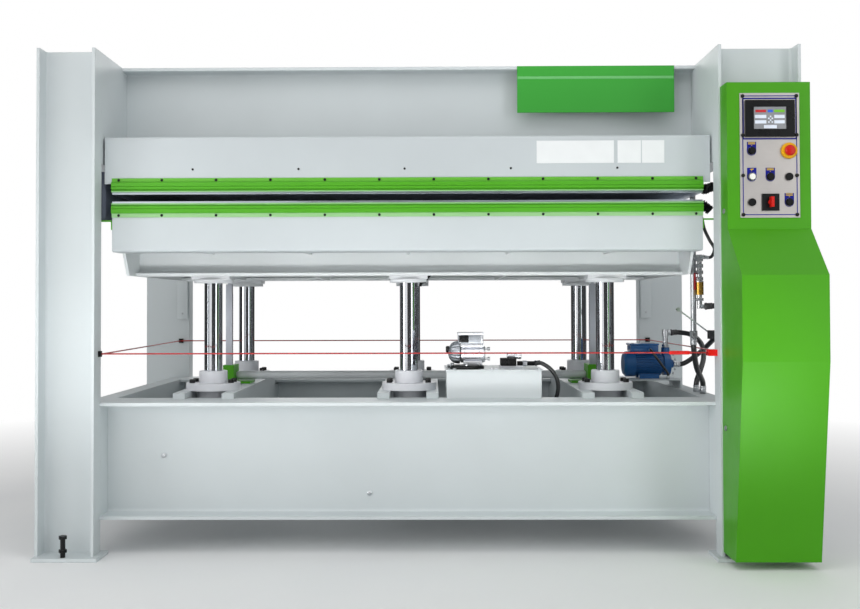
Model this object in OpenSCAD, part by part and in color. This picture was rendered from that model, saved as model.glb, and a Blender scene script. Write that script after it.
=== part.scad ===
/* [Frame] */
// Clearance between the platens' ends and each end frame
end_gap = 40; // [30:1:80]
// Depth over the columns, front to back
frame_d = 1700; // [1660:10:1900]
// Clear height between the base beams and the top beams
opening_h = 991; // [960:1:1200]
// Width of a column channel across its web
column_w = 240; // [200:5:300]
// Width of the front right column, which carries the control cabinet
control_column_w = 335; // [320:5:380]
// Depth of a column channel's flanges
column_flange = 85; // [70:1:100]
// Thickness of a column channel's web
column_web_t = 10; // [8:1:14]
// Thickness of a column channel's flanges
column_flange_t = 13; // [10:1:16]
// Radius in the channels' and beams' inner corners
root_r = 13; // [8:1:18]
// Thickness of the four base plates
base_plate_t = 14; // [10:1:20]
// How far a base plate stands out on its column's inner side, and behind it
base_plate_over = 25; // [10:1:40]
// How far a base plate stands out in front of its column
base_plate_nose = 38; // [20:1:60]
// Diameter of the levelling bolts
levelling_bolt_d = 20; // [16:2:24]

/* [Beams] */
// Height of the top beams, and of the side members beside them
top_beam_h = 466; // [420:2:500]
// Width of the top beams' flanges
top_beam_flange = 150; // [120:5:190]
// Height of the base beams, and of the side members beside them
base_beam_h = 481; // [420:1:520]
// Width of the base beams' flanges
base_beam_flange = 226; // [180:2:260]
// Height of the base beams' undersides above the floor
base_beam_z = 147; // [120:1:180]
// Distance from the columns' front to the base beam's flange
base_beam_inset = 72; // [40:1:90]
// Thickness of all beam webs
beam_web_t = 12; // [8:1:16]
// Thickness of all beam flanges
beam_flange_t = 14; // [10:1:20]
// Thickness of the bars that carry the cylinders
bar_w = 52; // [40:1:60]
// Height of the cylinder bars' ends above the base beams
bar_lip = 25; // [18:1:32]

/* [Cylinders] */
// Distance between the rows of cylinders, front to back
row_pitch = 820; // [780:5:860]
// Distance from the platens' ends to the end cylinders
cylinder_inset = 351; // [330:1:400]
// Length of a cylinder barrel under its flange
barrel_l = 420; // [380:5:440]
// Diameter of a piston rod
rod_d = 80; // [60:1:90]
// Outer diameter of a cylinder barrel
barrel_d = 140; // [130:1:146]
// Bore of a cylinder barrel
bore_d = 110; // [100:1:116]
// Diameter of a cylinder's mounting flange
flange_d = 240; // [220:1:260]
// Thickness of a cylinder's mounting flange
flange_t = 32; // [24:1:40]
// Diameter of the gland ring on a cylinder
gland_d = 125; // [112:1:140]
// Height of the gland ring
gland_h = 53; // [40:1:60]
// Number of bolts in a cylinder flange
flange_bolts_n = 8; // [6:2:10]
// Size of the flange bolts
flange_bolt_d = 16; // [12:1:18]
// Diameter of the disc at the top of a rod
rod_disc_d = 170; // [150:2:190]
// Thickness of the rod's disc, and of the plate over it
rod_disc_t = 15; // [10:1:20]

/* [Bed and platens] */
// Length of the platens
platen_l = 2458; // [2300:2:2500]
// Width of the platens, front to back
platen_w = 1500; // [1400:10:1504]
// Thickness of each platen
platen_t = 45; // [35:1:60]
// Thickness of the insulation behind each platen
insulation_t = 23; // [15:1:30]
// Height of the head's ribs, between its plate and the top beams
rib_h = 42; // [30:1:60]
// Gap between the platens as the bed stands
daylight = 29; // [15:1:60]
// Height of the bed's welded frame
bed_frame_h = 236; // [220:1:260]
// Width of the bed's long beams
bed_beam_flange = 130; // [100:5:150]
// Height of the bed's front and rear aprons
apron_h = 144; // [110:1:160]
// Height of the upper covers above the rails
cover_h = 174; // [150:1:200]
// Sheet thickness of the covers and aprons
sheet_t = 2; // [1.5:0.5:3]
// Outer bend radius of the covers
bend_r = 12; // [6:1:20]

/* [Rails] */
// Height of a platen rail
rail_h = 58; // [50:1:64]
// Depth of a rail at its ridges
rail_depth = 14; // [10:1:20]
// Height of the screw flange along a rail
rail_flange_h = 16; // [12:1:20]

/* [Synchroniser] */
// Tooth module of the racks and pinions
tooth_module = 4; // [3:0.5:5]
// Number of teeth on a pinion
pinion_teeth = 18; // [17:1:22]
// Width of a rack
rack_w = 30; // [24:1:36]
// Depth of a rack behind its teeth
rack_depth = 22; // [16:1:28]
// Diameter of the torsion shaft
shaft_d = 40; // [30:1:46]
// Height of the torsion shaft's axis above the floor
shaft_z = 690; // [685:1:700]

/* [Power units] */
// Length of the oil tank
tank_l = 406; // [360:2:440]
// Height of the oil tank's top above the base beams
tank_h = 124; // [100:1:150]
// Body diameter of the oil pump's motor
oil_motor_d = 76; // [66:1:90]
// Body diameter of the water pump's motor
water_motor_d = 116; // [100:1:130]
// Diameter of the riser pipe
riser_d = 24; // [18:1:30]

/* [Controls] */
// Width of the control cabinet
cabinet_w = 330; // [300:5:330]
// Distance from the columns' tops down to the cabinet's top
cabinet_drop = 175; // [120:5:200]
// How far the cabinet's upper part stands out
cabinet_upper_d = 91; // [70:1:120]
// How far the cabinet's lower part stands out
cabinet_lower_d = 272; // [220:2:300]
// Width of the control panel
panel_w = 236; // [220:2:260]
// Height of the control panel
panel_h = 495; // [480:1:520]
// Diameter of the push buttons' bezels
bezel_d = 30; // [26:1:34]
// Diameter of the emergency stop's head
stop_d = 42; // [34:1:50]
// Travel of the push buttons
button_travel = 4; // [2:0.5:6]
// Diameter of the trip rope
rope_d = 6; // [4:1:10]
// Height of the trip rope above the floor
rope_z = 831; // [810:1:850]

/* [Hidden] */

$fn = 64;

// Faces of the frame that everything else is set against
clear_w = platen_l + 2 * end_gap;
inner_x = clear_w / 2;
front_y = -frame_d / 2;
rear_y = frame_d / 2;
base_top_z = base_beam_z + base_beam_h;
top_beam_z = base_top_z + opening_h;
frame_h = top_beam_z + top_beam_h;
base_beam_y = rear_y - base_beam_inset - base_beam_flange / 2;
row_y = row_pitch / 2;
frame_gray = [0.80, 0.83, 0.84];
panel_green = [0.37, 0.70, 0.20];
fit_gap = 0.3;

// Heights of the fixed head and of the bed
head_plate_t = 16;
head_z = top_beam_z - rib_h - head_plate_t;
upper_platen_z = head_z - insulation_t - platen_t;
platen_z = upper_platen_z - daylight;
bed_top_z = platen_z - platen_t - insulation_t;
bed_z = bed_top_z - bed_frame_h;
cover_y = -platen_w / 2 - sheet_t;
edge_strip = 9;
lower_rail_z = platen_z - edge_strip - rail_h;
upper_rail_z = upper_platen_z + edge_strip;

// Cylinder stack
bar_top_z = base_top_z + bar_lip;
flange_top_z = bar_top_z + flange_t;
gland_top_z = flange_top_z + gland_h;
cylinder_pitch = platen_l / 2 - cylinder_inset;
piston_h = 60;
barrel_z = bar_top_z - barrel_l;
bar_offset = barrel_d / 2 + 9 + bar_w / 2;
bolt_circle_d = (flange_d + gland_d) / 2 + 4;

// Colours of the smaller pieces
steel = [0.72, 0.74, 0.76];
dark = [0.12, 0.12, 0.13];
off_white = [0.90, 0.91, 0.93];

// A channel's section, its web along X at y = 0 and its flanges pointing to -Y
module channel_section(w, depth, web_t, flange_t, r) {
    difference() {
        translate([-w / 2, -depth]) square([w, depth]);
        difference() {
            translate([-w / 2 + flange_t, -depth - 1]) square([w - 2 * flange_t, depth + 1 - web_t]);
            for (side = [-1, 1])
                translate([side * (w / 2 - flange_t), -web_t])
                    difference() {
                        translate([-r, -r]) square(2 * r);
                        translate([-side * r, -r]) circle(r);
                    }
        }
    }
}

// A beam's I section, centred on its web, its lower flange on y = 0
module beam_section(w, h, web_t, flange_t, r) {
    difference() {
        translate([-w / 2, 0]) square([w, h]);
        for (side = [-1, 1])
            difference() {
                translate([side > 0 ? web_t / 2 : -w, flange_t]) square([w - web_t / 2, h - 2 * flange_t]);
                for (z = [flange_t, h - flange_t])
                    translate([side * web_t / 2, z])
                        difference() {
                            translate([-r, -r]) square(2 * r);
                            translate([side * r, z > h / 2 ? -r : r]) circle(r);
                        }
            }
    }
}

// Extrudes a YZ outline along X, centred
module along_x(l) {
    rotate([90, 0, 90]) linear_extrude(l, center = true) children();
}

// One column with its base plate; face is the direction that its open side faces
module column(w, x, face) {
    y = face < 0 ? front_y : rear_y;
    out = w == control_column_w ? cabinet_bolt_out : levelling_out;
    color(frame_gray) {
        difference() {
            union() {
                translate([x, y - face * column_flange, base_plate_t])
                    rotate(face < 0 ? 0 : 180)
                        linear_extrude(frame_h - base_plate_t)
                            channel_section(w, column_flange, column_web_t, column_flange_t, root_r);
                base_plate(w, x, y, face);
            }
            translate([x, y + face * out, -1])
                cylinder(d = levelling_bolt_d + 1, h = base_plate_t + 2);
        }
    }
}

// The levelling bolts stand in front of their columns, but behind the cabinet
levelling_out = 12;
cabinet_bolt_out = -18;

module base_plate(w, x, y, face) {
    depth = column_flange + base_plate_nose + base_plate_over;
    y_low = face < 0 ? y - base_plate_nose : y - column_flange - base_plate_over;
    translate([x - w / 2 - (x > 0 ? base_plate_over : 0), y_low, 0])
        cube([w + base_plate_over, depth, base_plate_t]);
}

module front_left_column() {
    column(column_w, -inner_x - column_w / 2, -1);
}

module front_right_column() {
    column(control_column_w, inner_x + control_column_w / 2, -1);
}

module rear_left_column() {
    column(column_w, -inner_x - column_w / 2, 1);
}

module rear_right_column() {
    column(column_w, inner_x + column_w / 2, 1);
}

// A channel lying between the front and rear columns, its web flush with their inner faces
module side_member(h, z, side) {
    translate([side * inner_x, 0, z + h / 2])
        rotate([90, 0, 0])
            linear_extrude(frame_d - 2 * column_flange, center = true)
                rotate(side > 0 ? 90 : -90)
                    channel_section(h, column_flange, column_web_t, column_flange_t, root_r);
}

module upper_side_members() {
    color(frame_gray)
        for (side = [-1, 1]) side_member(top_beam_h, top_beam_z, side);
}

module lower_side_members() {
    color(frame_gray)
        for (side = [-1, 1]) side_member(base_beam_h, base_beam_z, side);
}

module top_beam(y) {
    color(frame_gray)
        translate([0, y, top_beam_z])
            along_x(clear_w)
                beam_section(top_beam_flange, top_beam_h, beam_web_t, beam_flange_t, root_r);
}

module front_top_beam() {
    top_beam(-row_y);
}

module rear_top_beam() {
    top_beam(row_y);
}

module base_beam(y) {
    color(frame_gray)
        translate([0, y, base_beam_z])
            along_x(clear_w)
                beam_section(base_beam_flange, base_beam_h, beam_web_t, beam_flange_t, root_r);
}

module front_base_beam() {
    base_beam(-base_beam_y);
}

module rear_base_beam() {
    base_beam(base_beam_y);
}

bar_deep = 260;

// Outline of a cylinder bar: it hangs between the base beams' webs and laps onto their flanges
module bar_outline() {
    inside = base_beam_y - base_beam_flange / 2;
    lap = 60;
    web_y = base_beam_y - beam_web_t / 2;
    under = base_top_z - beam_flange_t - root_r;
    deep = base_top_z - bar_deep;
    polygon([for (p = [[inside + lap, bar_top_z], [inside + lap, base_top_z], [inside, base_top_z],
                       [inside - root_r, under], [web_y, under], [web_y, deep + 60],
                       [inside - 80, deep]]) p,
             for (p = [[inside - 80, deep], [web_y, deep + 60], [web_y, under], [inside - root_r, under],
                       [inside, base_top_z], [inside + lap, base_top_z], [inside + lap, bar_top_z]])
                 [-p[0], p[1]]]);
}

module cross_members() {
    color(frame_gray)
        for (x = [-1, 0, 1], side = [-1, 1])
            translate([x * cylinder_pitch + side * bar_offset, 0, 0])
                along_x(bar_w) bar_outline();
}

// Fixed head: a plate with ribs that reach up to the top beams
module press_head() {
    rib_n = 7;
    rib_t = 14;
    color(frame_gray) {
        translate([-platen_l / 2, -platen_w / 2, head_z])
            cube([platen_l, platen_w, head_plate_t]);
        for (i = [0 : rib_n - 1])
            translate([-platen_l / 2 + 60 + i * (platen_l - 120) / (rib_n - 1), 0, head_z + head_plate_t])
                translate([-rib_t / 2, -platen_w / 2 + 40, 0])
                    cube([rib_t, platen_w - 80, rib_h]);
    }
}

module slab(t, z) {
    translate([-platen_l / 2, -platen_w / 2, z]) cube([platen_l, platen_w, t]);
}

module upper_insulation() {
    color([0.20, 0.21, 0.23]) slab(insulation_t, upper_platen_z + platen_t);
}

module upper_platen() {
    color(steel) platen(upper_platen_z, upper_port_y);
}

module lower_insulation() {
    color([0.20, 0.21, 0.23]) slab(insulation_t, bed_top_z);
}

module lower_platen() {
    color(steel) platen(platen_z - platen_t, lower_port_y);
}

// A platen drilled across at each end for its heating circuit
upper_port_y = 515;
lower_port_y = 565;

module platen(z, port_y) {
    port_d = 15;
    difference() {
        slab(platen_t, z);
        for (end = [-1, 1], y = [-1, 1])
            translate([end * platen_l / 2, y * port_y, z + platen_t / 2])
                rotate([0, 90, 0]) cylinder(d = port_d, h = 120, center = true);
    }
}

// Outline of a rail from its screw flange (v = 0) to its ridged lip (v = rail_h)
module rail_outline() {
    flange_d = 4;
    ridge = rail_depth;
    groove = rail_depth - 4;
    body = rail_h - rail_flange_h;
    v = rail_flange_h;
    polygon([[0, 0], [flange_d, 0], [flange_d, v - 3], [groove, v + 1], [ridge, v + 4],
             [ridge, v + body * 0.42], [ridge - 2.5, v + body * 0.46], [ridge, v + body * 0.50],
             [ridge, v + body * 0.70], [groove - 2, v + body * 0.76], [groove - 2, v + body * 0.84],
             [ridge - 1, v + body * 0.88], [ridge - 1, rail_h], [0, rail_h]]);
}

// up is 1 where the screw flange is at the bottom
module rail(z, up, side) {
    translate([0, side * -cover_y, z + (up > 0 ? 0 : rail_h)])
        along_x(platen_l)
            scale_pair(side, up) rail_outline();
}

module scale_pair(a, b) {
    mirror([a < 0 ? 1 : 0, 0]) mirror([0, b < 0 ? 1 : 0]) children();
}

module upper_rails() {
    color(panel_green)
        for (side = [-1, 1]) rail(upper_rail_z, -1, side);
}

module lower_rails() {
    color(panel_green)
        for (side = [-1, 1]) rail(lower_rail_z, 1, side);
}

// Section of a sheet bent once: a leg up from v = 0 and a leg inward at its far end
module bent_sheet(h, lip) {
    translate([0, 0]) square([sheet_t, h - bend_r]);
    translate([bend_r, h - sheet_t]) square([lip - bend_r, sheet_t]);
    translate([bend_r, h - bend_r])
        intersection() {
            difference() {
                circle(bend_r);
                circle(bend_r - sheet_t);
            }
            translate([-bend_r, 0]) square(bend_r);
        }
}

// The upper covers end in ears that reach down past the rails' ends
module upper_cover(side) {
    ear_l = 31;
    ear_drop = rail_h * 0.4;
    z = upper_rail_z + rail_h - ear_drop;
    translate([0, side * -cover_y, z])
        along_x(platen_l + 2 * ear_l)
            mirror([side > 0 ? 1 : 0, 0]) bent_sheet(cover_h + ear_drop, 90);
    // Strip behind the rail
    translate([-platen_l / 2, side > 0 ? -cover_y - sheet_t : cover_y, upper_rail_z])
        cube([platen_l, sheet_t, rail_h]);
}

module upper_covers() {
    color(frame_gray)
        for (side = [-1, 1]) upper_cover(side);
}

module apron(side) {
    apron_l = platen_l - 2;
    translate([0, side * -cover_y, lower_rail_z])
        along_x(apron_l)
            mirror([side > 0 ? 1 : 0, 0]) mirror([0, 1]) bent_sheet(apron_h, 110);
    translate([-apron_l / 2, side > 0 ? -cover_y - sheet_t : cover_y, lower_rail_z])
        cube([apron_l, sheet_t, rail_h]);
}

module aprons() {
    color(frame_gray)
        for (side = [-1, 1]) apron(side);
}

// Outline of a cross plate of the bed, shallow under the edges. Only the end plates taper down in front of the beams.
module bed_plate_outline(tapered) {
    edge = platen_w / 2;
    shallow = lower_rail_z - apron_h + sheet_t;
    shoulder = tapered ? edge - 122 : row_y;
    foot = tapered ? shoulder - 60 : row_y;
    polygon([[-edge, bed_top_z], [-edge, shallow + bend_r], [-edge + bend_r, shallow], [-shoulder, shallow],
             [-foot, bed_z], [foot, bed_z], [shoulder, shallow], [edge - bend_r, shallow],
             [edge, shallow + bend_r], [edge, bed_top_z]]);
}

// The plates end a weld's gap short of the long beams
module bed_frame() {
    plate_t = 12;
    weld_gap = 0.3;
    end_x = platen_l / 2 - 7 - plate_t / 2;
    color(frame_gray) {
        for (side = [-1, 1])
            translate([0, side * row_y, bed_z])
                along_x(2 * end_x + plate_t)
                    beam_section(bed_beam_flange, bed_frame_h, beam_web_t, beam_flange_t, root_r);
        for (x = [-end_x, -cylinder_pitch, -cylinder_pitch / 2, 0, cylinder_pitch / 2, cylinder_pitch, end_x])
            translate([x, 0, 0])
                along_x(plate_t)
                    difference() {
                        bed_plate_outline(abs(x) == end_x);
                        for (side = [-1, 1])
                            translate([side * row_y, bed_z - weld_gap])
                                beam_section(bed_beam_flange + 2 * weld_gap, bed_frame_h + 2 * weld_gap,
                                             beam_web_t + 2 * weld_gap, beam_flange_t + 2 * weld_gap, root_r);
                    }
    }
}

// One hydraulic cylinder: a closed barrel under a round mounting flange
module cylinder_body(x, y) {
    foot_t = 24;
    rod_clear = 0.1;
    translate([x, y, 0])
        difference() {
            union() {
                translate([0, 0, barrel_z]) cylinder(d = barrel_d, h = bar_top_z - barrel_z);
                translate([0, 0, bar_top_z]) cylinder(d = flange_d, h = flange_t);
            }
            translate([0, 0, barrel_z + foot_t])
                cylinder(d = bore_d, h = bar_top_z - barrel_z - foot_t);
            translate([0, 0, bar_top_z - 1])
                cylinder(d = rod_d + 2 * rod_clear, h = flange_t + 2);
            for (i = [0 : flange_bolts_n - 1])
                rotate(bolt_angle(i))
                    translate([bolt_circle_d / 2, 0, flange_top_z - flange_bolt_deep])
                        cylinder(d = flange_bolt_d, h = flange_bolt_deep + 1);
        }
}

flange_bolt_deep = 20;
function bolt_angle(i) = (i + 0.5) * 360 / flange_bolts_n;

module cylinder_row(y) {
    color(frame_gray)
        for (x = [-1, 0, 1]) cylinder_body(x * cylinder_pitch, y);
}

module front_cylinders() {
    cylinder_row(-row_y);
}

module rear_cylinders() {
    cylinder_row(row_y);
}

module gland_rings() {
    wall_clear = 0.3;
    chamfer = 3;
    color(off_white)
        for (x = [-1, 0, 1], y = [-1, 1])
            translate([x * cylinder_pitch, y * row_y, flange_top_z])
                rotate_extrude()
                    polygon([[rod_d / 2 + wall_clear, 0], [gland_d / 2, 0], [gland_d / 2, gland_h - chamfer],
                             [gland_d / 2 - chamfer, gland_h], [rod_d / 2 + wall_clear + 4, gland_h],
                             [rod_d / 2 + wall_clear, gland_h - 4]]);
}

module flange_bolts() {
    head_d = flange_bolt_d * 1.5;
    socket_d = flange_bolt_d * 0.8;
    color(dark)
        for (x = [-1, 0, 1], y = [-1, 1], i = [0 : flange_bolts_n - 1])
            translate([x * cylinder_pitch, y * row_y, flange_top_z])
                rotate(bolt_angle(i))
                    translate([bolt_circle_d / 2, 0, 0])
                        difference() {
                            union() {
                                translate([0, 0, -flange_bolt_deep])
                                    cylinder(d = flange_bolt_d, h = flange_bolt_deep + 1);
                                cylinder(d = head_d, h = flange_bolt_d);
                            }
                            translate([0, 0, flange_bolt_d / 2])
                                cylinder(d = socket_d, h = flange_bolt_d, $fn = 6);
                        }
}

// A chromed rod with its piston, its disc and the square plate under the bed
module piston_rod(x, y) {
    piston_clear = 0.15;
    piston_z = bar_top_z - piston_h - daylight - 12;
    plate_w = bed_beam_flange;
    neck_d = rod_d * 0.8;
    translate([x, y, 0]) {
        translate([0, 0, piston_z]) cylinder(d = bore_d - 2 * piston_clear, h = piston_h);
        translate([0, 0, piston_z]) cylinder(d = rod_d, h = bed_z - 2 * rod_disc_t - piston_z);
        translate([0, 0, bed_z - 2 * rod_disc_t]) cylinder(d = rod_disc_d, h = rod_disc_t);
        translate([-rod_disc_d / 2, -plate_w / 2, bed_z - rod_disc_t])
            cube([rod_disc_d, plate_w, rod_disc_t]);
    }
}

module front_piston_rods() {
    color(steel)
        for (x = [-1, 0, 1]) piston_rod(x * cylinder_pitch, -row_y);
}

module rear_piston_rods() {
    color(steel)
        for (x = [-1, 0, 1]) piston_rod(x * cylinder_pitch, row_y);
}

module levelling_bolt(x, y) {
    head_h = levelling_bolt_d * 0.65;
    shank_h = 88;
    nut_z = 34;
    translate([x, y, 0]) {
        cylinder(d = levelling_bolt_d, h = shank_h);
        translate([0, 0, shank_h]) cylinder(d = levelling_bolt_d * 1.7, h = head_h, $fn = 6);
        translate([0, 0, nut_z]) cylinder(d = levelling_bolt_d * 1.7, h = levelling_bolt_d * 0.6, $fn = 6);
    }
}

module levelling_bolts() {
    color(dark) {
        levelling_bolt(-inner_x - column_w / 2, front_y - levelling_out);
        levelling_bolt(inner_x + control_column_w / 2, front_y - cabinet_bolt_out);
        for (side = [-1, 1])
            levelling_bolt(side * (inner_x + column_w / 2), rear_y + levelling_out);
    }
}

// Synchroniser: racks on the bed drive pinions on one torsion shaft
pinion_r = tooth_module * pinion_teeth / 2;
rack_backlash = 0.25;
rack_x = cylinder_pitch;
rack_foot_z = shaft_z - 2 * pinion_r + 8;
housing_w = rack_w + 22;

// Half thickness, as an angle, of an involute tooth at radius r
function inv(a) = tan(a) * 180 / PI - a;
function tooth_half_angle(r, base_r, at_pitch) = at_pitch + inv(20) - inv(acos(min(1, base_r / r)));

module pinion_outline() {
    base_r = pinion_r * cos(20);
    root = pinion_r - 1.25 * tooth_module;
    tip = pinion_r + tooth_module * 0.95;
    at_pitch = 90 / pinion_teeth - rack_backlash / pinion_r * 90 / PI;
    start = max(base_r, root);
    flank = [for (i = [0 : 4]) start + (tip - start) * i / 4];
    polygon([for (k = [0 : pinion_teeth - 1]) each
                 let (mid = 360 * (k + 0.5) / pinion_teeth)
                 concat([polar(root, mid - tooth_half_angle(start, base_r, at_pitch) - 1)],
                        [for (r = flank) polar(r, mid - tooth_half_angle(r, base_r, at_pitch))],
                        [for (i = [4 : -1 : 0]) polar(flank[i], mid + tooth_half_angle(flank[i], base_r, at_pitch))],
                        [polar(root, mid + tooth_half_angle(start, base_r, at_pitch) + 1)])]);
}

function polar(r, a) = [r * cos(a), r * sin(a)];

module pinions() {
    key_w = 10;
    color(steel)
        for (side = [-1, 1])
            translate([side * rack_x, 0, shaft_z])
                rotate([90, 0, 90])
                    linear_extrude(rack_w - 4, center = true)
                        difference() {
                            pinion_outline();
                            circle(d = shaft_d * 0.75);
                        }
}

module torsion_shaft() {
    seat_d = shaft_d * 0.75;
    journal = housing_w / 2 - (rack_w - 4) / 2;
    color([0.85, 0.87, 0.88])
        translate([0, 0, shaft_z])
            rotate([0, 90, 0]) {
                cylinder(d = shaft_d, h = 2 * (rack_x - housing_w / 2 - 6), center = true);
                cylinder(d = seat_d, h = 2 * rack_x + housing_w - 8, center = true);
            }
}

// Rack bar with teeth that face the pinion, hung from the bed's cross plate by a neck
module rack(x) {
    pitch = PI * tooth_module;
    top_z = bed_z - 29;
    phase = shaft_z;
    teeth = floor((top_z - 40 - rack_foot_z) / pitch);
    half_low = pitch / 4 + tooth_module * 1.2 * tan(20) - rack_backlash / 2;
    half_tip = pitch / 4 - tooth_module * 0.95 * tan(20) - rack_backlash / 2;
    first = ceil((rack_foot_z + pitch - phase) / pitch);
    root_y = -pinion_r - tooth_module * 1.2;
    tip_y = -pinion_r + tooth_module * 0.95;
    translate([x, 0, 0]) {
        along_x(rack_w)
            polygon(concat([[root_y - rack_depth, rack_foot_z], [root_y, rack_foot_z]],
                           [for (k = [first : first + teeth - 2]) each
                               [[root_y, phase + k * pitch - half_low], [tip_y, phase + k * pitch - half_tip],
                                [tip_y, phase + k * pitch + half_tip], [root_y, phase + k * pitch + half_low]]],
                           [[root_y, top_z], [root_y - rack_depth, top_z]]));
        translate([-6, root_y - rack_depth, top_z])
            cube([12, rack_depth, bed_z - top_z]);
    }
}

module racks() {
    color([0.55, 0.57, 0.60])
        for (side = [-1, 1]) rack(side * rack_x);
}

// Green housing round a pinion and its rack, open above and below for the rack
module pinion_housing(side) {
    front = -pinion_r - tooth_module * 1.2 - rack_depth - 14;
    back = pinion_r + tooth_module + 14;
    low = bar_top_z;
    foot_t = 10;
    high = shaft_z + pinion_r + tooth_module + 12;
    slot = rack_w + 2 * 0.4;
    translate([side * rack_x, 0, 0])
        difference() {
            union() {
                translate([-housing_w / 2, front, low]) cube([housing_w, back - front, high - low]);
                translate([-bar_offset, front, low]) cube([2 * bar_offset, back - front, foot_t]);
            }
            translate([-slot / 2, front + 13.6, low - 1])
                cube([slot, rack_depth + 2 * tooth_module + 1, high - low + 2]);
            translate([0, 0, shaft_z])
                rotate([0, 90, 0]) cylinder(r = pinion_r + tooth_module + 2, h = slot, center = true);
            translate([0, 0, shaft_z])
                rotate([0, 90, 0]) cylinder(d = shaft_d * 0.75 + 0.2, h = housing_w + 2, center = true);
        }
}

module pinion_housings() {
    color([0.25, 0.55, 0.15])
        for (side = [-1, 1]) pinion_housing(side);
}

// Oil power unit between the centre and right cylinders, nearer the centre's bar
tank_bay_x = bar_offset + bar_w / 2;
tank_room = cylinder_pitch - 2 * tank_bay_x - tank_l;
tank_x = tank_bay_x + tank_room / 6 + tank_l / 2;
tank_back = 233;
tank_front_y = front_y + tank_back;
tank_d = 330;
tank_top_z = base_top_z + tank_h;
tank_wall = 4;

module oil_tank() {
    sump_front = -base_beam_y + base_beam_flange / 2 + 2;
    sump_h = 180;
    lid_over = 6;
    color([0.84, 0.86, 0.87]) {
        difference() {
            union() {
                translate([tank_x - tank_l / 2, tank_front_y, base_top_z])
                    cube([tank_l, tank_d, tank_h - 5]);
                translate([tank_x - tank_l / 2, sump_front, base_top_z - sump_h])
                    cube([tank_l, tank_front_y + tank_d - sump_front, sump_h]);
            }
            translate([tank_x - tank_l / 2 + tank_wall, sump_front + tank_wall, base_top_z - sump_h + tank_wall])
                cube([tank_l - 2 * tank_wall, tank_front_y + tank_d - sump_front - 2 * tank_wall,
                      sump_h + tank_h - 5 - 2 * tank_wall]);
        }
        translate([tank_x - tank_l / 2 - lid_over, tank_front_y - lid_over, tank_top_z - 5])
            cube([tank_l + 2 * lid_over, tank_d + 2 * lid_over, 5]);
    }
}

oil_motor_x = tank_x - 118;
oil_motor_y = tank_front_y + 90;
oil_motor_z = tank_top_z + 60;

// Ribs round a motor body, as one outline across its axis
module finned_outline(d, fins, fin_h) {
    circle(d = d - 2 * fin_h);
    for (i = [0 : fins - 1])
        rotate(i * 360 / fins) translate([0, -1.5]) square([d / 2, 3]);
}

module oil_pump_motor() {
    body_l = 104;
    cowl_l = 44;
    box_h = 50;
    color(steel)
        translate([oil_motor_x, oil_motor_y, 0]) {
            translate([0, 0, oil_motor_z]) {
                along_x(body_l) finned_outline(oil_motor_d, 24, 4);
                translate([-body_l / 2 - cowl_l, 0, 0])
                    rotate([0, 90, 0])
                        rotate_extrude()
                            polygon([[0, 0], [oil_motor_d * 0.42, 0], [oil_motor_d / 2 + 5, 8],
                                     [oil_motor_d / 2 + 5, cowl_l], [0, cowl_l]]);
                translate([body_l / 2, 0, 0])
                    rotate([0, 90, 0]) cylinder(d = oil_motor_d * 0.8, h = 22);
            }
            translate([-body_l / 2, -38, oil_motor_z + oil_motor_d / 2 - 6])
                cube([body_l, 76, box_h]);
            translate([-body_l / 2 + 4, -32, tank_top_z + 14])
                cube([body_l - 8, 64, oil_motor_z - tank_top_z - 14]);
            translate([0, 0, tank_top_z]) cylinder(d = 148, h = 14);
        }
}

valve_block_x = 150;

module valve_block() {
    x = oil_motor_x + valve_block_x;
    solenoid = [92, 46, 44];
    translate([x, oil_motor_y - 30, tank_top_z]) {
        color(dark) cube([solenoid[0], solenoid[1], solenoid[2]]);
        color(steel) translate([18, solenoid[1], 0]) cube([60, 60, 36]);
        color(steel)
            translate([48, solenoid[1] + 30, 36]) cylinder(d = 54, h = 34);
        color(steel)
            translate([solenoid[0], solenoid[1] + 10, 20])
                rotate([0, 90, 0]) cylinder(d = 26, h = 60);
    }
}

// Water pump on a shelf at the right end
pump_reach = 229;
pump_x = inner_x - pump_reach;
pump_y = 40;
pump_z = 738;
pump_body_l = 181;

module water_pump_motor() {
    cowl_l = 56;
    body_x = pump_x + cowl_l;
    body_l = pump_body_l - cowl_l;
    color([0.12, 0.31, 0.52]) {
        translate([body_x + body_l / 2, pump_y, pump_z])
            along_x(body_l) finned_outline(water_motor_d, 28, 6);
        translate([pump_x, pump_y, pump_z])
            rotate([0, 90, 0])
                rotate_extrude()
                    polygon([[0, 0], [water_motor_d * 0.42, 0], [water_motor_d / 2 + 4, 12],
                             [water_motor_d / 2 + 4, cowl_l], [0, cowl_l]]);
        translate([body_x, pump_y - 42, pump_z + water_motor_d / 2 - 10]) cube([110, 84, 42]);
        for (y = [-1, 1])
            translate([body_x + 15, pump_y + y * 40 - 15, shelf_z + shelf_t])
                cube([body_l - 30, 30, 24]);
    }
}

casing_d = 112;
casing_l = 46;
outlet_x = pump_x + pump_body_l + casing_l / 2 + 5;
outlet_z = pump_z + casing_d / 2 + 97;
inlet_x = pump_x + pump_body_l + casing_l + 18;

module water_pump_casing() {
    port_d = 40;
    color([0.12, 0.31, 0.52])
        translate([pump_x + pump_body_l, pump_y, pump_z]) {
            rotate([0, 90, 0]) {
                cylinder(d = casing_d * 0.8, h = 14);
                translate([0, 0, 14]) cylinder(d = casing_d, h = casing_l - 14);
            }
            translate([casing_l / 2 + 5, 0, 0]) cylinder(d = port_d, h = outlet_port_h);
            translate([casing_l, 0, 0]) rotate([0, 90, 0]) cylinder(d = port_d, h = 18);
        }
}

outlet_elbow = 24;
outlet_port_h = casing_d / 2 + 24;

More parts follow.
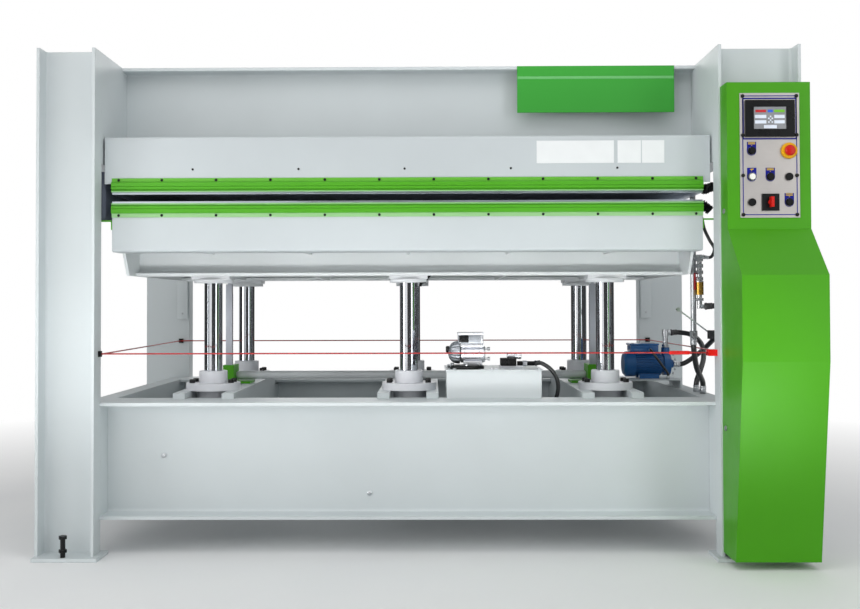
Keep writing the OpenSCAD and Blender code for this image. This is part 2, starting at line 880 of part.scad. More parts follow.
// Threaded pipe and elbow that stand on the pump's outlet
module pump_outlet_pipe() {
    pipe_d = 24;
    low_z = pump_z + outlet_port_h;
    color(steel)
        translate([outlet_x, pump_y, 0]) {
            translate([0, 0, low_z]) cylinder(d = pipe_d, h = outlet_z - low_z);
            translate([0, 0, low_z + 2]) cylinder(d = pipe_d + 10, h = 14, $fn = 6);
            translate([0, 0, outlet_z - 18]) cylinder(d = pipe_d + 8, h = 34);
            translate([0, 0, outlet_z]) rotate([0, 90, 0]) cylinder(d = pipe_d + 4, h = outlet_elbow);
        }
}

shelf_t = 5;
shelf_z = pump_z - water_motor_d / 2 - 16;
shelf_w = 240;
shelf_over = 20;

// A plate bent down at its end onto the side member
module pump_shelf() {
    shelf_l = inner_x + 30 - pump_x + shelf_over;
    color(frame_gray)
        translate([pump_x - shelf_over, pump_y - shelf_w / 2, 0]) {
            translate([0, 0, shelf_z]) cube([shelf_l, shelf_w, shelf_t]);
            translate([shelf_l - shelf_t, 0, base_top_z]) cube([shelf_t, shelf_w, shelf_z - base_top_z + shelf_t]);
        }
}

// Heating circuit at the right end: a riser to the upper platen and a valve beside it
riser_x = platen_l / 2 + 18;
riser_y = -upper_port_y;
riser_drop = 339;
riser_low_z = lower_rail_z - apron_h - riser_drop;
valve_x = riser_x + 20;
valve_y = riser_y - 28;
valve_z = riser_low_z + 186;

riser_nut_h = 30;

module riser_pipe() {
    port_z = upper_platen_z + platen_t / 2;
    color(steel) {
        translate([riser_x, riser_y, riser_low_z]) cylinder(d = riser_d, h = port_z - riser_low_z);
        translate([riser_x, riser_y, port_z]) sphere(d = riser_d + 6);
        translate([platen_l / 2, riser_y, port_z])
            rotate([0, 90, 0]) cylinder(d = riser_d, h = riser_x - platen_l / 2);
        translate([riser_x, riser_y, riser_low_z - riser_nut_h])
            cylinder(d = riser_d + 10, h = riser_nut_h, $fn = 6);
    }
}

valve_tube_d = 20;
valve_stem_l = 12;
valve_down = 90;
valve_up = 145;
valve_elbow = 20;
tee_z = valve_z + valve_up;

// Threaded fittings and a ball valve on a short pipe that branches off the riser
module valve_column() {
    hex_d = valve_tube_d + 12;
    low_z = valve_z - valve_down;
    to_riser = [riser_x - valve_x, riser_y - valve_y];
    color(steel)
        translate([valve_x, valve_y, 0]) {
            translate([0, 0, low_z]) cylinder(d = valve_tube_d, h = tee_z - low_z);
            for (i = [0 : 3])
                translate([0, 0, valve_z + 32 + i * 28]) cylinder(d = hex_d, h = 16, $fn = 6);
            translate([0, 0, valve_z - 30]) cylinder(d = hex_d + 2, h = 60);
            translate([0, 0, low_z + 34]) cylinder(d = hex_d + 2, h = 12, $fn = 6);
            for (z = [low_z + 10, tee_z - 10])
                translate([0, 0, z]) rotate([0, 90, 0]) cylinder(d = valve_tube_d, h = valve_elbow);
            translate([-valve_tube_d / 2 - valve_stem_l + 4, 0, valve_z])
                rotate([0, 90, 0]) cylinder(d = 10, h = valve_stem_l);
            difference() {
                translate([0, 0, tee_z - valve_tube_d / 2])
                    rotate([0, 90, atan2(to_riser[1], to_riser[0])])
                        cylinder(d = valve_tube_d, h = norm(to_riser));
                translate([to_riser[0], to_riser[1], tee_z - 2 * valve_tube_d])
                    cylinder(d = riser_d, h = 4 * valve_tube_d);
            }
        }
}

module valve_lever() {
    lever_t = 6;
    lever_x = valve_x - valve_tube_d / 2 - valve_stem_l + 4 - lever_t - fit_gap;
    color([0.70, 0.08, 0.10])
        translate([lever_x, valve_y, valve_z])
            rotate([90, 0, 90])
                linear_extrude(lever_t) {
                    circle(d = 18);
                    translate([-5, 0]) square([10, 52]);
                    translate([0, 58]) circle(d = 16);
                }
}

// Limit switch with a sprung lever, on the back of the right column
switch_w = 40;
switch_h = 36;
switch_drop = 352;
switch_x = inner_x + 4 + switch_w / 2;
switch_y = -634;
switch_z = lower_rail_z - apron_h - switch_drop;

module limit_switch() {
    color(dark) {
        translate([switch_x - switch_w / 2, front_y + column_flange, switch_z - switch_h / 2])
            cube([switch_w, switch_y - 6 - front_y - column_flange, switch_h]);
        translate([switch_x, switch_y - 6, switch_z]) rotate([-90, 0, 0]) cylinder(d = 26, h = 6);
    }
}

module limit_switch_lever() {
    lever_l = 176;
    lift = 37;
    color(steel)
        translate([switch_x, switch_y + fit_gap, switch_z])
            rotate([0, lift, 0]) {
                translate([-lever_l, 0, -3]) cube([lever_l, 4, 6]);
                rotate([-90, 0, 0]) cylinder(d = 18, h = 8);
                translate([-lever_l, 0, 0]) rotate([-90, 0, 0]) cylinder(d = 20, h = 6);
            }
}

// Trip rope round the press: from the switch past the left column, round the rear columns and back
rope_off = 14;
rope_front_y = front_y + 60;
rope_rear_y = rear_y - column_flange - rope_off;
rope_side_x = inner_x - rope_off;
rope_rear_x = inner_x + 45;
rope_block = 24;
corner_d = rope_d + 2;
rope_end_y = front_y + column_flange + rope_block / 2;

module rope_run(a, b) {
    d = b - a;
    l = norm(d);
    translate(a)
        rotate([0, acos(d[2] / l), atan2(d[1], d[0])])
            cylinder(d = rope_d, h = l, $fn = 16);
}

module trip_rope() {
    corners = [[-rope_side_x, rope_front_y, rope_z], [-rope_rear_x, rope_rear_y, rope_z],
               [rope_rear_x, rope_rear_y, rope_z]];
    switch_end = rope_side_x - 20;
    color([0.75, 0.15, 0.15]) {
        rope_run(corners[0], [switch_end, rope_front_y, rope_z]);
        rope_run(corners[0], corners[1]);
        rope_run(corners[1], corners[2]);
        rope_run([rope_rear_x, rope_end_y, rope_z], corners[2]);
        for (c = corners) translate(c) sphere(d = corner_d);
        translate([switch_end - sleeve_inset - sleeve_l, rope_front_y, rope_z])
            rotate([0, 90, 0]) cylinder(d = rope_d + 6, h = sleeve_l);
    }
}

sleeve_l = 86;
sleeve_inset = 68;

module rope_switch() {
    color([0.75, 0.15, 0.15])
        translate([rope_side_x - 20, rope_front_y - 18, rope_z - 13])
            cube([inner_x - rope_side_x + 20, 48, 26]);
}

// Blocks that hold the rope: beside the front left column, on the rear columns, and at its end
module rope_guides() {
    reach = rope_off - corner_d / 2 - fit_gap;
    low_z = rope_z - rope_block / 2;
    color(dark) {
        translate([-inner_x, rope_front_y - rope_block / 2, low_z]) cube([reach, rope_block, rope_block]);
        for (side = [-1, 1])
            translate([side * rope_rear_x - rope_block / 2, rope_rear_y + corner_d / 2 + fit_gap, low_z])
                cube([rope_block, reach, rope_block]);
        translate([rope_rear_x - rope_block / 2, front_y + column_flange, low_z])
            cube([rope_block, rope_block / 2, rope_block]);
    }
}

// Control cabinet over the front right column
cabinet_top = frame_h - cabinet_drop;
cabinet_low_z = 32;
cabinet_x = inner_x + 7;
cabinet_wall = 3;
// Heights at which the cabinet's front bends, down from its top, and its foot's setback
shoulder_drop = 583;
belly_drop = 770;
knee_drop = 1099;
foot_setback = 106;

module cabinet_outline(inset) {
    upper = cabinet_upper_d - inset;
    lower = cabinet_lower_d - inset;
    back = inset > 0 ? -1 : 0;
    polygon([[back, cabinet_top - inset], [-upper, cabinet_top - inset], [-upper, cabinet_top - shoulder_drop],
             [-lower, cabinet_top - belly_drop], [-lower, cabinet_top - knee_drop],
             [-lower + foot_setback, cabinet_low_z + inset], [back, cabinet_low_z + inset]]);
}

panel_x = cabinet_x + cabinet_w / 2 + 3;
panel_drop = 539;
panel_z = cabinet_top - panel_drop;
panel_y = front_y - cabinet_upper_d;
panel_t = 3;

module control_cabinet() {
    color(panel_green)
        translate([cabinet_x + cabinet_w / 2, front_y, 0])
            difference() {
                along_x(cabinet_w) cabinet_outline(0);
                along_x(cabinet_w - 2 * cabinet_wall) cabinet_outline(cabinet_wall);
                translate([panel_x - cabinet_x - cabinet_w / 2 - panel_w / 2 + 20, -cabinet_upper_d - 1, panel_z + 20])
                    cube([panel_w - 40, cabinet_wall + 2, panel_h - 40]);
            }
}

// Centres of the control panel's buttons, from its lower left corner
button_columns = [46, 119, 193];
button_rows = [61, 162, 265];
stem_d = 20;

module panel_hole(column, row, d) {
    translate([panel_x - panel_w / 2 + button_columns[column], panel_y + 1, panel_z + button_rows[row]])
        rotate([90, 0, 0]) cylinder(d = d, h = panel_t + 2);
}

module control_panel() {
    color([0.72, 0.71, 0.70])
        difference() {
            translate([panel_x - panel_w / 2, panel_y - panel_t, panel_z]) cube([panel_w, panel_t, panel_h]);
            panel_hole(0, 2, stem_d + 0.6);
            panel_hole(0, 1, stem_d + 0.6);
            panel_hole(1, 1, stem_d + 0.6);
            panel_hole(2, 0, stem_d + 0.6);
            panel_hole(2, 2, stem_d + 0.6);
            panel_hole(1, 0, stem_d + 0.6);
        }
}

module touch_screen() {
    screen_w = 195;
    screen_h = 146;
    bezel_t = 9;
    window = [124, 88];
    color(dark)
        translate([panel_x - screen_w / 2, panel_y - panel_t - bezel_t, panel_z + 320])
            difference() {
                cube([screen_w, bezel_t, screen_h]);
                translate([(screen_w - window[0]) / 2, -1, (screen_h - window[1]) / 2])
                    cube([window[0], 3, window[1]]);
            }
}

module at_button(column, row) {
    translate([panel_x - panel_w / 2 + button_columns[column], panel_y - panel_t, panel_z + button_rows[row]])
        rotate([90, 0, 0]) children();
}

bezel_h = 8;
switch_plate_w = 67;

module button_bezels() {
    color(dark) {
        for (place = [[0, 2], [0, 1], [1, 1], [2, 0]])
            at_button(place[0], place[1])
                difference() {
                    cylinder(d = bezel_d, h = bezel_h);
                    translate([0, 0, -1]) cylinder(d = bezel_d - 6, h = bezel_h + 2);
                }
        for (place = [[0, 0], [2, 1]])
            at_button(place[0], place[1]) cylinder(d = bezel_d, h = bezel_h);
        at_button(1, 0)
            difference() {
                translate([-switch_plate_w / 2, -switch_plate_w / 2, 0])
                    cube([switch_plate_w, switch_plate_w, 6]);
                translate([0, 0, -1]) cylinder(d = stem_d + 0.2, h = 8);
            }
    }
    color([0.95, 0.80, 0.10])
        at_button(2, 2)
            difference() {
                cylinder(d = stop_d * 1.5, h = 3);
                translate([0, 0, -1]) cylinder(d = stem_d + 0.6, h = 5);
            }
}

// The button's head starts above the panel by its travel
module push_button(column, row) {
    at_button(column, row) {
        translate([0, 0, -12]) cylinder(d = stem_d, h = 14 + button_travel);
        translate([0, 0, button_travel + fit_gap])
            cylinder(d = bezel_d - 6 - 2 * fit_gap, h = bezel_h);
    }
}

module lamp_button() {
    color([0.95, 0.95, 0.92]) push_button(0, 1);
}

module upper_left_button() {
    color(dark) push_button(0, 2);
}

module middle_button() {
    color(dark) push_button(1, 1);
}

module lower_right_button() {
    color(dark) push_button(2, 0);
}

module emergency_stop() {
    stop_travel = 5;
    head_h = 18;
    color([0.85, 0.15, 0.10])
        at_button(2, 2)
            rotate_extrude()
                polygon([[0, -14], [stem_d / 2, -14], [stem_d / 2, 3 + stop_travel + fit_gap],
                         [stop_d / 2 - 3, 3 + stop_travel + fit_gap], [stop_d / 2, 3 + stop_travel + 4],
                         [stop_d / 2, 3 + stop_travel + head_h - 8], [stop_d / 2 - 6, 3 + stop_travel + head_h - 2],
                         [0, 3 + stop_travel + head_h]]);
}

module main_switch_handle() {
    color([0.75, 0.10, 0.10])
        at_button(1, 0) {
            translate([0, 0, -14]) cylinder(d = stem_d, h = 14 + 6 + fit_gap);
            translate([0, 0, 6 + fit_gap]) cylinder(d = 22, h = 8);
            translate([-6, -20, 6 + fit_gap]) cube([12, 40, 24]);
        }
}

// Hoses, each along a smooth curve through a few round points, with ends square to their first and last legs
module hose(points, d) {
    sides = 10;
    steps = 2;
    path = [for (i = [0 : len(points) - 2], k = [0 : steps - 1]) curve_point(points, i, k / steps)];
    route = concat(path, [points[len(points) - 1]]);
    last = len(route) - 1;
    ways = [for (i = [0 : last])
        i == 0 ? unit(points[1] - points[0]) :
        i == last ? unit(points[len(points) - 1] - points[len(points) - 2]) : unit(route[i + 1] - route[i - 1])];
    across = carried(ways, 0, cross(ways[0], abs(ways[0][2]) > 0.9 ? [0, 1, 0] : [0, 0, 1]));
    polyhedron(
        [for (i = [0 : last], k = [0 : sides - 1])
            route[i] + d / 2 * (cos(k * 360 / sides) * across[i] + sin(k * 360 / sides) * cross(across[i], ways[i]))],
        concat([[for (k = [0 : sides - 1]) k]],
               [for (i = [0 : last - 1], k = [0 : sides - 1]) let (n = (k + 1) % sides)
                   [i * sides + k, (i + 1) * sides + k, (i + 1) * sides + n, i * sides + n]],
               [[for (k = [sides - 1 : -1 : 0]) last * sides + k]]));
}

function unit(v) = v / norm(v);

// A sideways direction carried along the curve, so that the tube doesn't twist
function carried(ways, i, u) =
    i == len(ways) ? [] :
    let (side = unit(u - (u * ways[i]) * ways[i])) concat([side], carried(ways, i + 1, side));

// Point at the share t between points i and i + 1, on a curve through all the points
function curve_point(p, i, t) =
    let (a = p[max(i - 1, 0)], b = p[i], c = p[i + 1], e = p[min(i + 2, len(p) - 1)])
    0.5 * (2 * b + t * (c - a) + t * t * (2 * a - 5 * b + 4 * c - e) + t * t * t * (3 * b - 3 * c + e - a));

water_hose_d = 24;
platen_hose_d = 14;
oil_hose_d = 18;
cable_d = 12;
elbow_x = valve_x + valve_elbow;
elbow_z = valve_z - valve_down + 10;
riser_foot_z = riser_low_z - riser_nut_h;

// How far a hose's end stands off what it meets
hose_off = 0.5;
// From the pump's outlet down to the side member
outlet_hose = [[outlet_x + outlet_elbow + hose_off, pump_y, outlet_z], [1320, pump_y, outlet_z], [1365, -20, 880],
               [1388, -105, 840], [1375, -190, 780], [1340, -265, 725], [1315, -295, 676],
               [1315, -295, base_top_z + hose_off]];
// From the pump's inlet to the elbow under the ball valve
inlet_hose = [[inlet_x + hose_off, pump_y, pump_z], [1335, pump_y, pump_z], [1385, 10, 775], [1425, -70, 830],
              [1450, -180, 895], [1450, -300, 950], [1425, -430, 990], [1352, valve_y, elbow_z],
              [elbow_x + hose_off, valve_y, elbow_z]];
// From the riser's foot down to the side member
return_hose = [[riser_x, riser_y, riser_foot_z - hose_off], [riser_x, riser_y, 836], [1272, -465, 750],
               [1320, -380, 680], [1320, -380, base_top_z + hose_off]];
// From the oil unit's fitting back into the tank's side
oil_hose = [[553 + hose_off, -501, tank_top_z + 20], [585, -501, tank_top_z + 20], [630, -500, 740],
            [655, -495, 690], [652, -490, 630], [628, -483, 585], [600, -480, 568],
            [tank_x + tank_l / 2 + hose_off, -480, 568]];
// From the pump motor's box down to its shelf
motor_cable = [[1165, pump_y - 42 - hose_off, 806], [1165, -26, 806], [1185, -48, 775], [1212, -57, 735],
               [1238, -58, 698], [1238, -58, shelf_z + shelf_t + hose_off]];
// From the lower platen's port to the elbow above the ball valve
platen_route = [[platen_l / 2, -lower_port_y, platen_z - platen_t / 2], [1258, -lower_port_y, 1438],
                [1273, -566, 1402], [1284, -566, 1354], [1308, -560, 1306], [1330, -552, 1270],
                [1318, valve_y, tee_z - 10], [elbow_x + hose_off, valve_y, tee_z - 10]];

module frame_hoses() {
    color(dark) {
        hose(outlet_hose, water_hose_d);
        hose(inlet_hose, water_hose_d);
        hose(return_hose, water_hose_d);
        hose(oil_hose, oil_hose_d);
        hose(motor_cable, cable_d);
    }
}

module platen_hose() {
    color(dark) hose(platen_route, platen_hose_d);
}

// Blank name board on the top beam's right half
module sign_plate() {
    sign_inset = 439;
    sign_x = inner_x - sign_inset;
    sign_w = 693;
    sign_h = 207;
    sign_t = 3;
    color([0.25, 0.64, 0.27])
        translate([sign_x - sign_w / 2, -row_y - top_beam_flange / 2 - sign_t, frame_h - sign_h])
            cube([sign_w, sign_t, sign_h]);
}

front_left_column();
front_right_column();
rear_left_column();
rear_right_column();
upper_side_members();
lower_side_members();
front_top_beam();
rear_top_beam();
front_base_beam();
rear_base_beam();
cross_members();
press_head();
upper_insulation();
upper_platen();
upper_rails();
upper_covers();
front_cylinders();
rear_cylinders();
gland_rings();
flange_bolts();
levelling_bolts();
pinion_housings();
oil_tank();
oil_pump_motor();
valve_block();
water_pump_motor();
water_pump_casing();
pump_outlet_pipe();
pump_shelf();
riser_pipe();
valve_column();
limit_switch();
trip_rope();
rope_switch();
rope_guides();
control_cabinet();
control_panel();
touch_screen();
button_bezels();
sign_plate();
frame_hoses();
platen_hose();
bed_frame();
lower_insulation();
lower_platen();
lower_rails();
aprons();
front_piston_rods();
rear_piston_rods();
racks();
torsion_shaft();
pinions();
valve_lever();
limit_switch_lever();
emergency_stop();
main_switch_handle();
lamp_button();
upper_left_button();
middle_button();
lower_right_button();
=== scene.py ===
"""Looks of a hydraulic platen press: finishes, fittings, hoses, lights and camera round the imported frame.

Every length is in metres, in the frame's own axes: X to the right, Y to the back, Z up.
"""

import math

import bmesh
import bpy
from mathutils import Matrix, Vector


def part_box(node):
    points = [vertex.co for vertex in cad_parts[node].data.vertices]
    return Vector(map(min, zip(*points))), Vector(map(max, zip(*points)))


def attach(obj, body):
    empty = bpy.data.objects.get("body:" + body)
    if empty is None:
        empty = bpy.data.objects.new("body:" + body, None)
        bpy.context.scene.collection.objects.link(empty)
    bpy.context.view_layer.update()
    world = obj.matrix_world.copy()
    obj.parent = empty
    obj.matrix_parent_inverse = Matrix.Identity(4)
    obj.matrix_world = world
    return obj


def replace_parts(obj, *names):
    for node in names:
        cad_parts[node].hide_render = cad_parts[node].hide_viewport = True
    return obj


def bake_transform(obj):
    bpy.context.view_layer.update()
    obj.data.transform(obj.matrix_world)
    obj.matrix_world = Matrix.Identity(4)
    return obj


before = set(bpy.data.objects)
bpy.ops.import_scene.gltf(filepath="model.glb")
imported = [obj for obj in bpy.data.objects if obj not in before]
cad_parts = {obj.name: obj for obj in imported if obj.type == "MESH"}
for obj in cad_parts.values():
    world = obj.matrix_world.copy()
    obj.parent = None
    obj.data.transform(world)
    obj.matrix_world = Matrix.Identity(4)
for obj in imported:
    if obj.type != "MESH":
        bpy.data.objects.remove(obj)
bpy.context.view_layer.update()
scene = bpy.context.scene
X_AXIS, Y_AXIS, Z_AXIS = Vector((1, 0, 0)), Vector((0, 1, 0)), Vector((0, 0, 1))


# Camera

def make_camera():
    """The photograph's viewpoint, worked out from the columns, beams and rods."""
    camera = bpy.data.cameras.new("camera")
    camera.lens = 42.6
    camera.sensor_width = 36
    camera.shift_x = 0.0082
    camera.shift_y = -0.0221
    obj = bpy.data.objects.new("camera", camera)
    obj.location = (0.109, -4.976, 1.029)
    obj.rotation_euler = (math.radians(91.10), math.radians(0.15), math.radians(0.57))
    scene.collection.objects.link(obj)
    scene.camera = obj


make_camera()


# Materials

def rgb(code):
    """Linear colour of a written hexadecimal one."""
    values = [int(code[i:i + 2], 16) / 255 for i in (0, 2, 4)]
    return tuple(v / 12.92 if v <= 0.04045 else ((v + 0.055) / 1.055) ** 2.4 for v in values) + (1,)


def scaled(colour, factor):
    """A colour made lighter or darker, with no channel over 1."""
    return tuple(min(1, c * factor) for c in colour[:3]) + (1,)


class Shader:
    """A material's node tree with short calls for the nodes that the finishes use."""

    def __init__(self, name):
        self.material = bpy.data.materials.new(name)
        self.material.use_nodes = True
        self.tree = self.material.node_tree
        self.tree.nodes.clear()
        self.output = self.tree.nodes.new("ShaderNodeOutputMaterial")
        self.bsdf = self.tree.nodes.new("ShaderNodeBsdfPrincipled")
        self.tree.links.new(self.bsdf.outputs[0], self.output.inputs["Surface"])
        self.place = self.node("ShaderNodeTexCoord").outputs["Object"]

    def node(self, kind, **values):
        node = self.tree.nodes.new(kind)
        for key, value in values.items():
            setattr(node, key, value)
        return node

    def link(self, source, target):
        self.tree.links.new(source, target)

    def noise(self, scale, detail=3, stretch=(1, 1, 1)):
        mapping = self.node("ShaderNodeMapping")
        mapping.inputs["Scale"].default_value = stretch
        self.link(self.place, mapping.inputs["Vector"])
        noise = self.node("ShaderNodeTexNoise")
        noise.inputs["Scale"].default_value = scale
        noise.inputs["Detail"].default_value = detail
        self.link(mapping.outputs[0], noise.inputs["Vector"])
        return noise.outputs["Fac"]

    def spread(self, value, low, high, source=(0.3, 0.7)):
        """Maps a value's range onto another."""
        node = self.node("ShaderNodeMapRange")
        for socket, number in zip(("From Min", "From Max", "To Min", "To Max"), source + (low, high)):
            node.inputs[socket].default_value = number
        self.link(value, node.inputs["Value"])
        return node.outputs[0]

    def mix(self, factor, a, b):
        node = self.node("ShaderNodeMix", data_type="RGBA")
        for socket, colour in ((node.inputs[6], a), (node.inputs[7], b)):
            if isinstance(colour, tuple):
                socket.default_value = colour
            else:
                self.link(colour, socket)
        self.link(factor, node.inputs[0])
        return node.outputs[2]

    def bump(self, height, strength, distance, normal=None):
        node = self.node("ShaderNodeBump")
        node.inputs["Strength"].default_value = strength
        node.inputs["Distance"].default_value = distance
        self.link(height, node.inputs["Height"])
        if normal is not None:
            self.link(normal, node.inputs["Normal"])
        return node.outputs[0]

    def above(self, height):
        """0 below a height and 1 over it."""
        split = self.node("ShaderNodeSeparateXYZ")
        self.link(self.place, split.inputs[0])
        return self.spread(split.outputs["Z"], 0, 1, (height - 0.0005, height + 0.0005))

    def combine(self, operation, a, b):
        node = self.node("ShaderNodeMath", operation=operation)
        self.link(a, node.inputs[0])
        self.link(b, node.inputs[1])
        return node.outputs[0]

    def banded(self, tone, bands):
        """Lays bands of another colour, each (lowest, highest, code), over a tone."""
        for low, high, code in bands:
            inside = self.combine("MULTIPLY", self.above(low), self.spread(self.above(high), 1, 0, (0, 1)))
            tone = self.mix(inside, tone, rgb(code))
        return tone

    def bevel(self, radius):
        node = self.node("ShaderNodeBevel", samples=4)
        node.inputs["Radius"].default_value = radius
        return node.outputs[0]

    def edge(self, bevelled):
        """Near 1 on a sharp edge and 0 on the flat."""
        geometry = self.node("ShaderNodeNewGeometry")
        dot = self.node("ShaderNodeVectorMath", operation="DOT_PRODUCT")
        self.link(bevelled, dot.inputs[0])
        self.link(geometry.outputs["Normal"], dot.inputs[1])
        return self.spread(dot.outputs["Value"], 1, 0, (0.82, 0.99))


def paint(name, code, rough=0.38, grain=0.12, grain_scale=900, dust=0.05, edge_radius=0.003,
          worn=None, coat=0.0, gloss=0.4, bands=()):
    """Sprayed or powder-coated metal: orange-peel grain, broad tone changes, worn edges, and bands of
    painted highlight where given.
    """
    s = Shader(name)
    colour = rgb(code)
    cloud = s.noise(1.6, 4)
    tone = s.mix(s.spread(cloud, 0, 1), scaled(colour, 1 - dust), scaled(colour, 1 + dust * 0.6))
    # Bands here are painted highlights, such as the rails' lit ridges
    tone = s.banded(tone, bands)
    rounded = s.bevel(edge_radius)
    if worn:
        chips = s.spread(s.noise(38, 4), 0, 0.7, (0.5, 0.75))
        tone = s.mix(s.combine("MULTIPLY", s.edge(rounded), chips), tone, rgb(worn))
    s.link(tone, s.bsdf.inputs["Base Color"])
    s.link(s.spread(s.noise(7, 4), rough - 0.05, rough + 0.07), s.bsdf.inputs["Roughness"])
    s.link(s.bump(s.noise(grain_scale, 2), grain, 0.0006, rounded), s.bsdf.inputs["Normal"])
    s.bsdf.inputs["Specular IOR Level"].default_value = gloss
    s.bsdf.inputs["Coat Weight"].default_value = coat
    s.bsdf.inputs["Coat Roughness"].default_value = 0.12
    return s.material


def metal(name, code, rough=0.3, stretch=(1, 1, 1), grain_scale=60, grain=0.1, mottle=0.1,
          edge_radius=0.0015, bands=(), painted=None):
    """Bare or plated metal: stretch below 1 along an axis draws the brushing or turning marks along it.
    painted is a height and a colour code: from that height up, the metal has a coat of that paint.
    """
    s = Shader(name)
    colour = rgb(code)
    marks = s.noise(grain_scale, 6, stretch)
    tone = s.mix(s.spread(s.noise(6, 5), 0, 1), scaled(colour, 1 - mottle), scaled(colour, 1 + mottle * 0.5))
    tone = s.banded(tone, bands)
    shine = s.spread(marks, rough - 0.06, rough + 0.1)
    s.bsdf.inputs["Metallic"].default_value = 1.0
    if painted:
        height, paint_code = painted
        coat = s.above(height)
        tone = s.mix(coat, tone, rgb(paint_code))
        s.link(s.spread(coat, 1, 0, (0, 1)), s.bsdf.inputs["Metallic"])
        shine = s.combine("MAXIMUM", shine, s.spread(coat, 0, 0.36, (0, 1)))
    s.link(tone, s.bsdf.inputs["Base Color"])
    s.link(shine, s.bsdf.inputs["Roughness"])
    s.link(s.bump(marks, grain, 0.0004, s.bevel(edge_radius)), s.bsdf.inputs["Normal"])
    return s.material


def plastic(name, code, rough=0.4, grain=0.08, grain_scale=1400, fleck=0.08, gloss=0.3):
    """Moulded plastic or rubber: fine grain and faint flecks of tone."""
    s = Shader(name)
    s.bsdf.inputs["Specular IOR Level"].default_value = gloss
    colour = rgb(code)
    tone = s.mix(s.spread(s.noise(14, 4), 0, 1), scaled(colour, 1 - fleck), scaled(colour, 1 + fleck))
    s.link(tone, s.bsdf.inputs["Base Color"])
    s.link(s.spread(s.noise(30, 3), rough - 0.05, rough + 0.06), s.bsdf.inputs["Roughness"])
    s.link(s.bump(s.noise(grain_scale, 2), grain, 0.0004, s.bevel(0.0012)), s.bsdf.inputs["Normal"])
    return s.material


# Heights of the rails' painted highlights, where their ridges catch the light, of the valve's brass band,
# and from which the rod heads are painted
# The rail bands are painted highlights: lighter and paler green strips laid by height
UPPER_RAIL_HIGHLIGHT_BANDS = ((1.5450, 1.562, "63AF38"), (1.501, 1.5055, "8DBF82"))
LOWER_RAIL_HIGHLIGHT_BANDS = ((1.395, 1.4130, "97C68C"), (1.4485, 1.457, "86BC78"))
BRASS_BAND = ((1.070, 1.125, "C39A4A"),)
ROD_HEAD_PAINT = (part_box("front_piston_rods")[1].z - 0.0315, "DDE0E3")

# The covers and aprons get a darker copy of the frame paint, which is painted shade, and the bed frame a
# lighter copy, which is painted light on its web under the aprons
FRAME_PAINT = paint("frame_paint", "CDD4D6", rough=0.42, worn="8E9694")
SHADED_PANEL_PAINT = paint("panel_paint_painted_shade", "BFC6C9", rough=0.40, worn="8E9694")
LIT_BED_FRAME_PAINT = paint("bed_frame_paint_painted_light", "E6EBEC", rough=0.40, worn="8E9694")
TANK_PAINT = paint("tank_paint", "D3D9DB", rough=0.36, worn="9AA1A1")
GLAND_PAINT = paint("gland_paint", "E3E5EA", rough=0.34, grain_scale=700)
UPPER_RAIL_GREEN = paint("upper_rail_green", "4FA221", rough=0.34, grain=0.05, edge_radius=0.0012,
                         gloss=0.3, bands=UPPER_RAIL_HIGHLIGHT_BANDS)
LOWER_RAIL_GREEN = paint("lower_rail_green", "4FA221", rough=0.34, grain=0.05, edge_radius=0.0012,
                         gloss=0.3, bands=LOWER_RAIL_HIGHLIGHT_BANDS)
CABINET_GREEN = paint("cabinet_green", "479A12", rough=0.36, grain=0.16, gloss=0.22)
HOUSING_GREEN = paint("housing_green", "4FA51E", rough=0.42, gloss=0.25)
SIGN_GREEN = paint("sign_green", "3DA23A", rough=0.45, grain=0.02, gloss=0.25)
SHAFT_PAINT = paint("shaft_paint", "D6DADC", rough=0.36)
PUMP_BLUE = paint("pump_blue", "1D5A96", rough=0.32, grain_scale=500, worn="0F2C4E", coat=0.3)
BLACK_STEEL = paint("black_steel", "0E0F11", rough=0.36, grain=0.2, grain_scale=500, dust=0.2, gloss=0.3)
CHROME = metal("rod_chrome", "CFD2D6", rough=0.07, stretch=(1, 1, 0.05), grain_scale=300, grain=0.02,
               mottle=0.03)
ROD_CHROME = metal("rod_chrome_painted_head", "CDD0D6", rough=0.06, stretch=(1, 1, 0.05), grain_scale=300,
                   grain=0.02, mottle=0.03, painted=ROD_HEAD_PAINT)
PLATEN = metal("platen_steel", "C8D0DC", rough=0.30, stretch=(0.02, 1, 1), grain_scale=220, mottle=0.06)
RACK_STEEL = metal("rack_steel", "B9BDC6", rough=0.34, stretch=(1, 1, 0.2), grain_scale=160)
ZINC = metal("zinc_pipe", "C3C6C9", rough=0.30, grain_scale=90, mottle=0.18)
CAST = metal("cast_aluminium", "A9AEB4", rough=0.42, grain_scale=500, grain=0.35, mottle=0.12)
VALVE_STEEL = metal("valve_steel", "9DA1A4", rough=0.34, grain_scale=120, mottle=0.15)
VALVE_COLUMN = metal("valve_column", "D3D5D6", rough=0.22, grain_scale=120, mottle=0.15,
                     bands=BRASS_BAND)
BRIGHT_CAST = metal("bright_cast", "DFE1E6", rough=0.36, grain_scale=400, grain=0.25, mottle=0.06)
PANEL_STEEL = metal("panel_steel", "B9B5B2", rough=0.44, stretch=(0.03, 1, 1), grain_scale=500, grain=0.12)
INSULATION = plastic("insulation", "2B2E33", rough=0.75, grain=0.4, grain_scale=300)
CURTAIN = plastic("curtain", "5C6270", rough=0.8, grain=0.3, grain_scale=240)
BLACK_PLASTIC = plastic("black_plastic", "090A0B", rough=0.42, gloss=0.2)
SCREEN_BLACK = plastic("screen_black", "0C0D0F", rough=0.3, gloss=0.2)
HOSE_BLACK = plastic("hose_black", "1E1F21", rough=0.3, grain=0.3, grain_scale=420, gloss=0.6)
ROPE_RED = plastic("rope_red", "A62E2E", rough=0.34, grain=0.4, grain_scale=500)
SLEEVE_RED = plastic("sleeve_red", "DC1410", rough=0.3)
LEVER_RED = paint("lever_red", "A5161B", rough=0.34, coat=0.4)
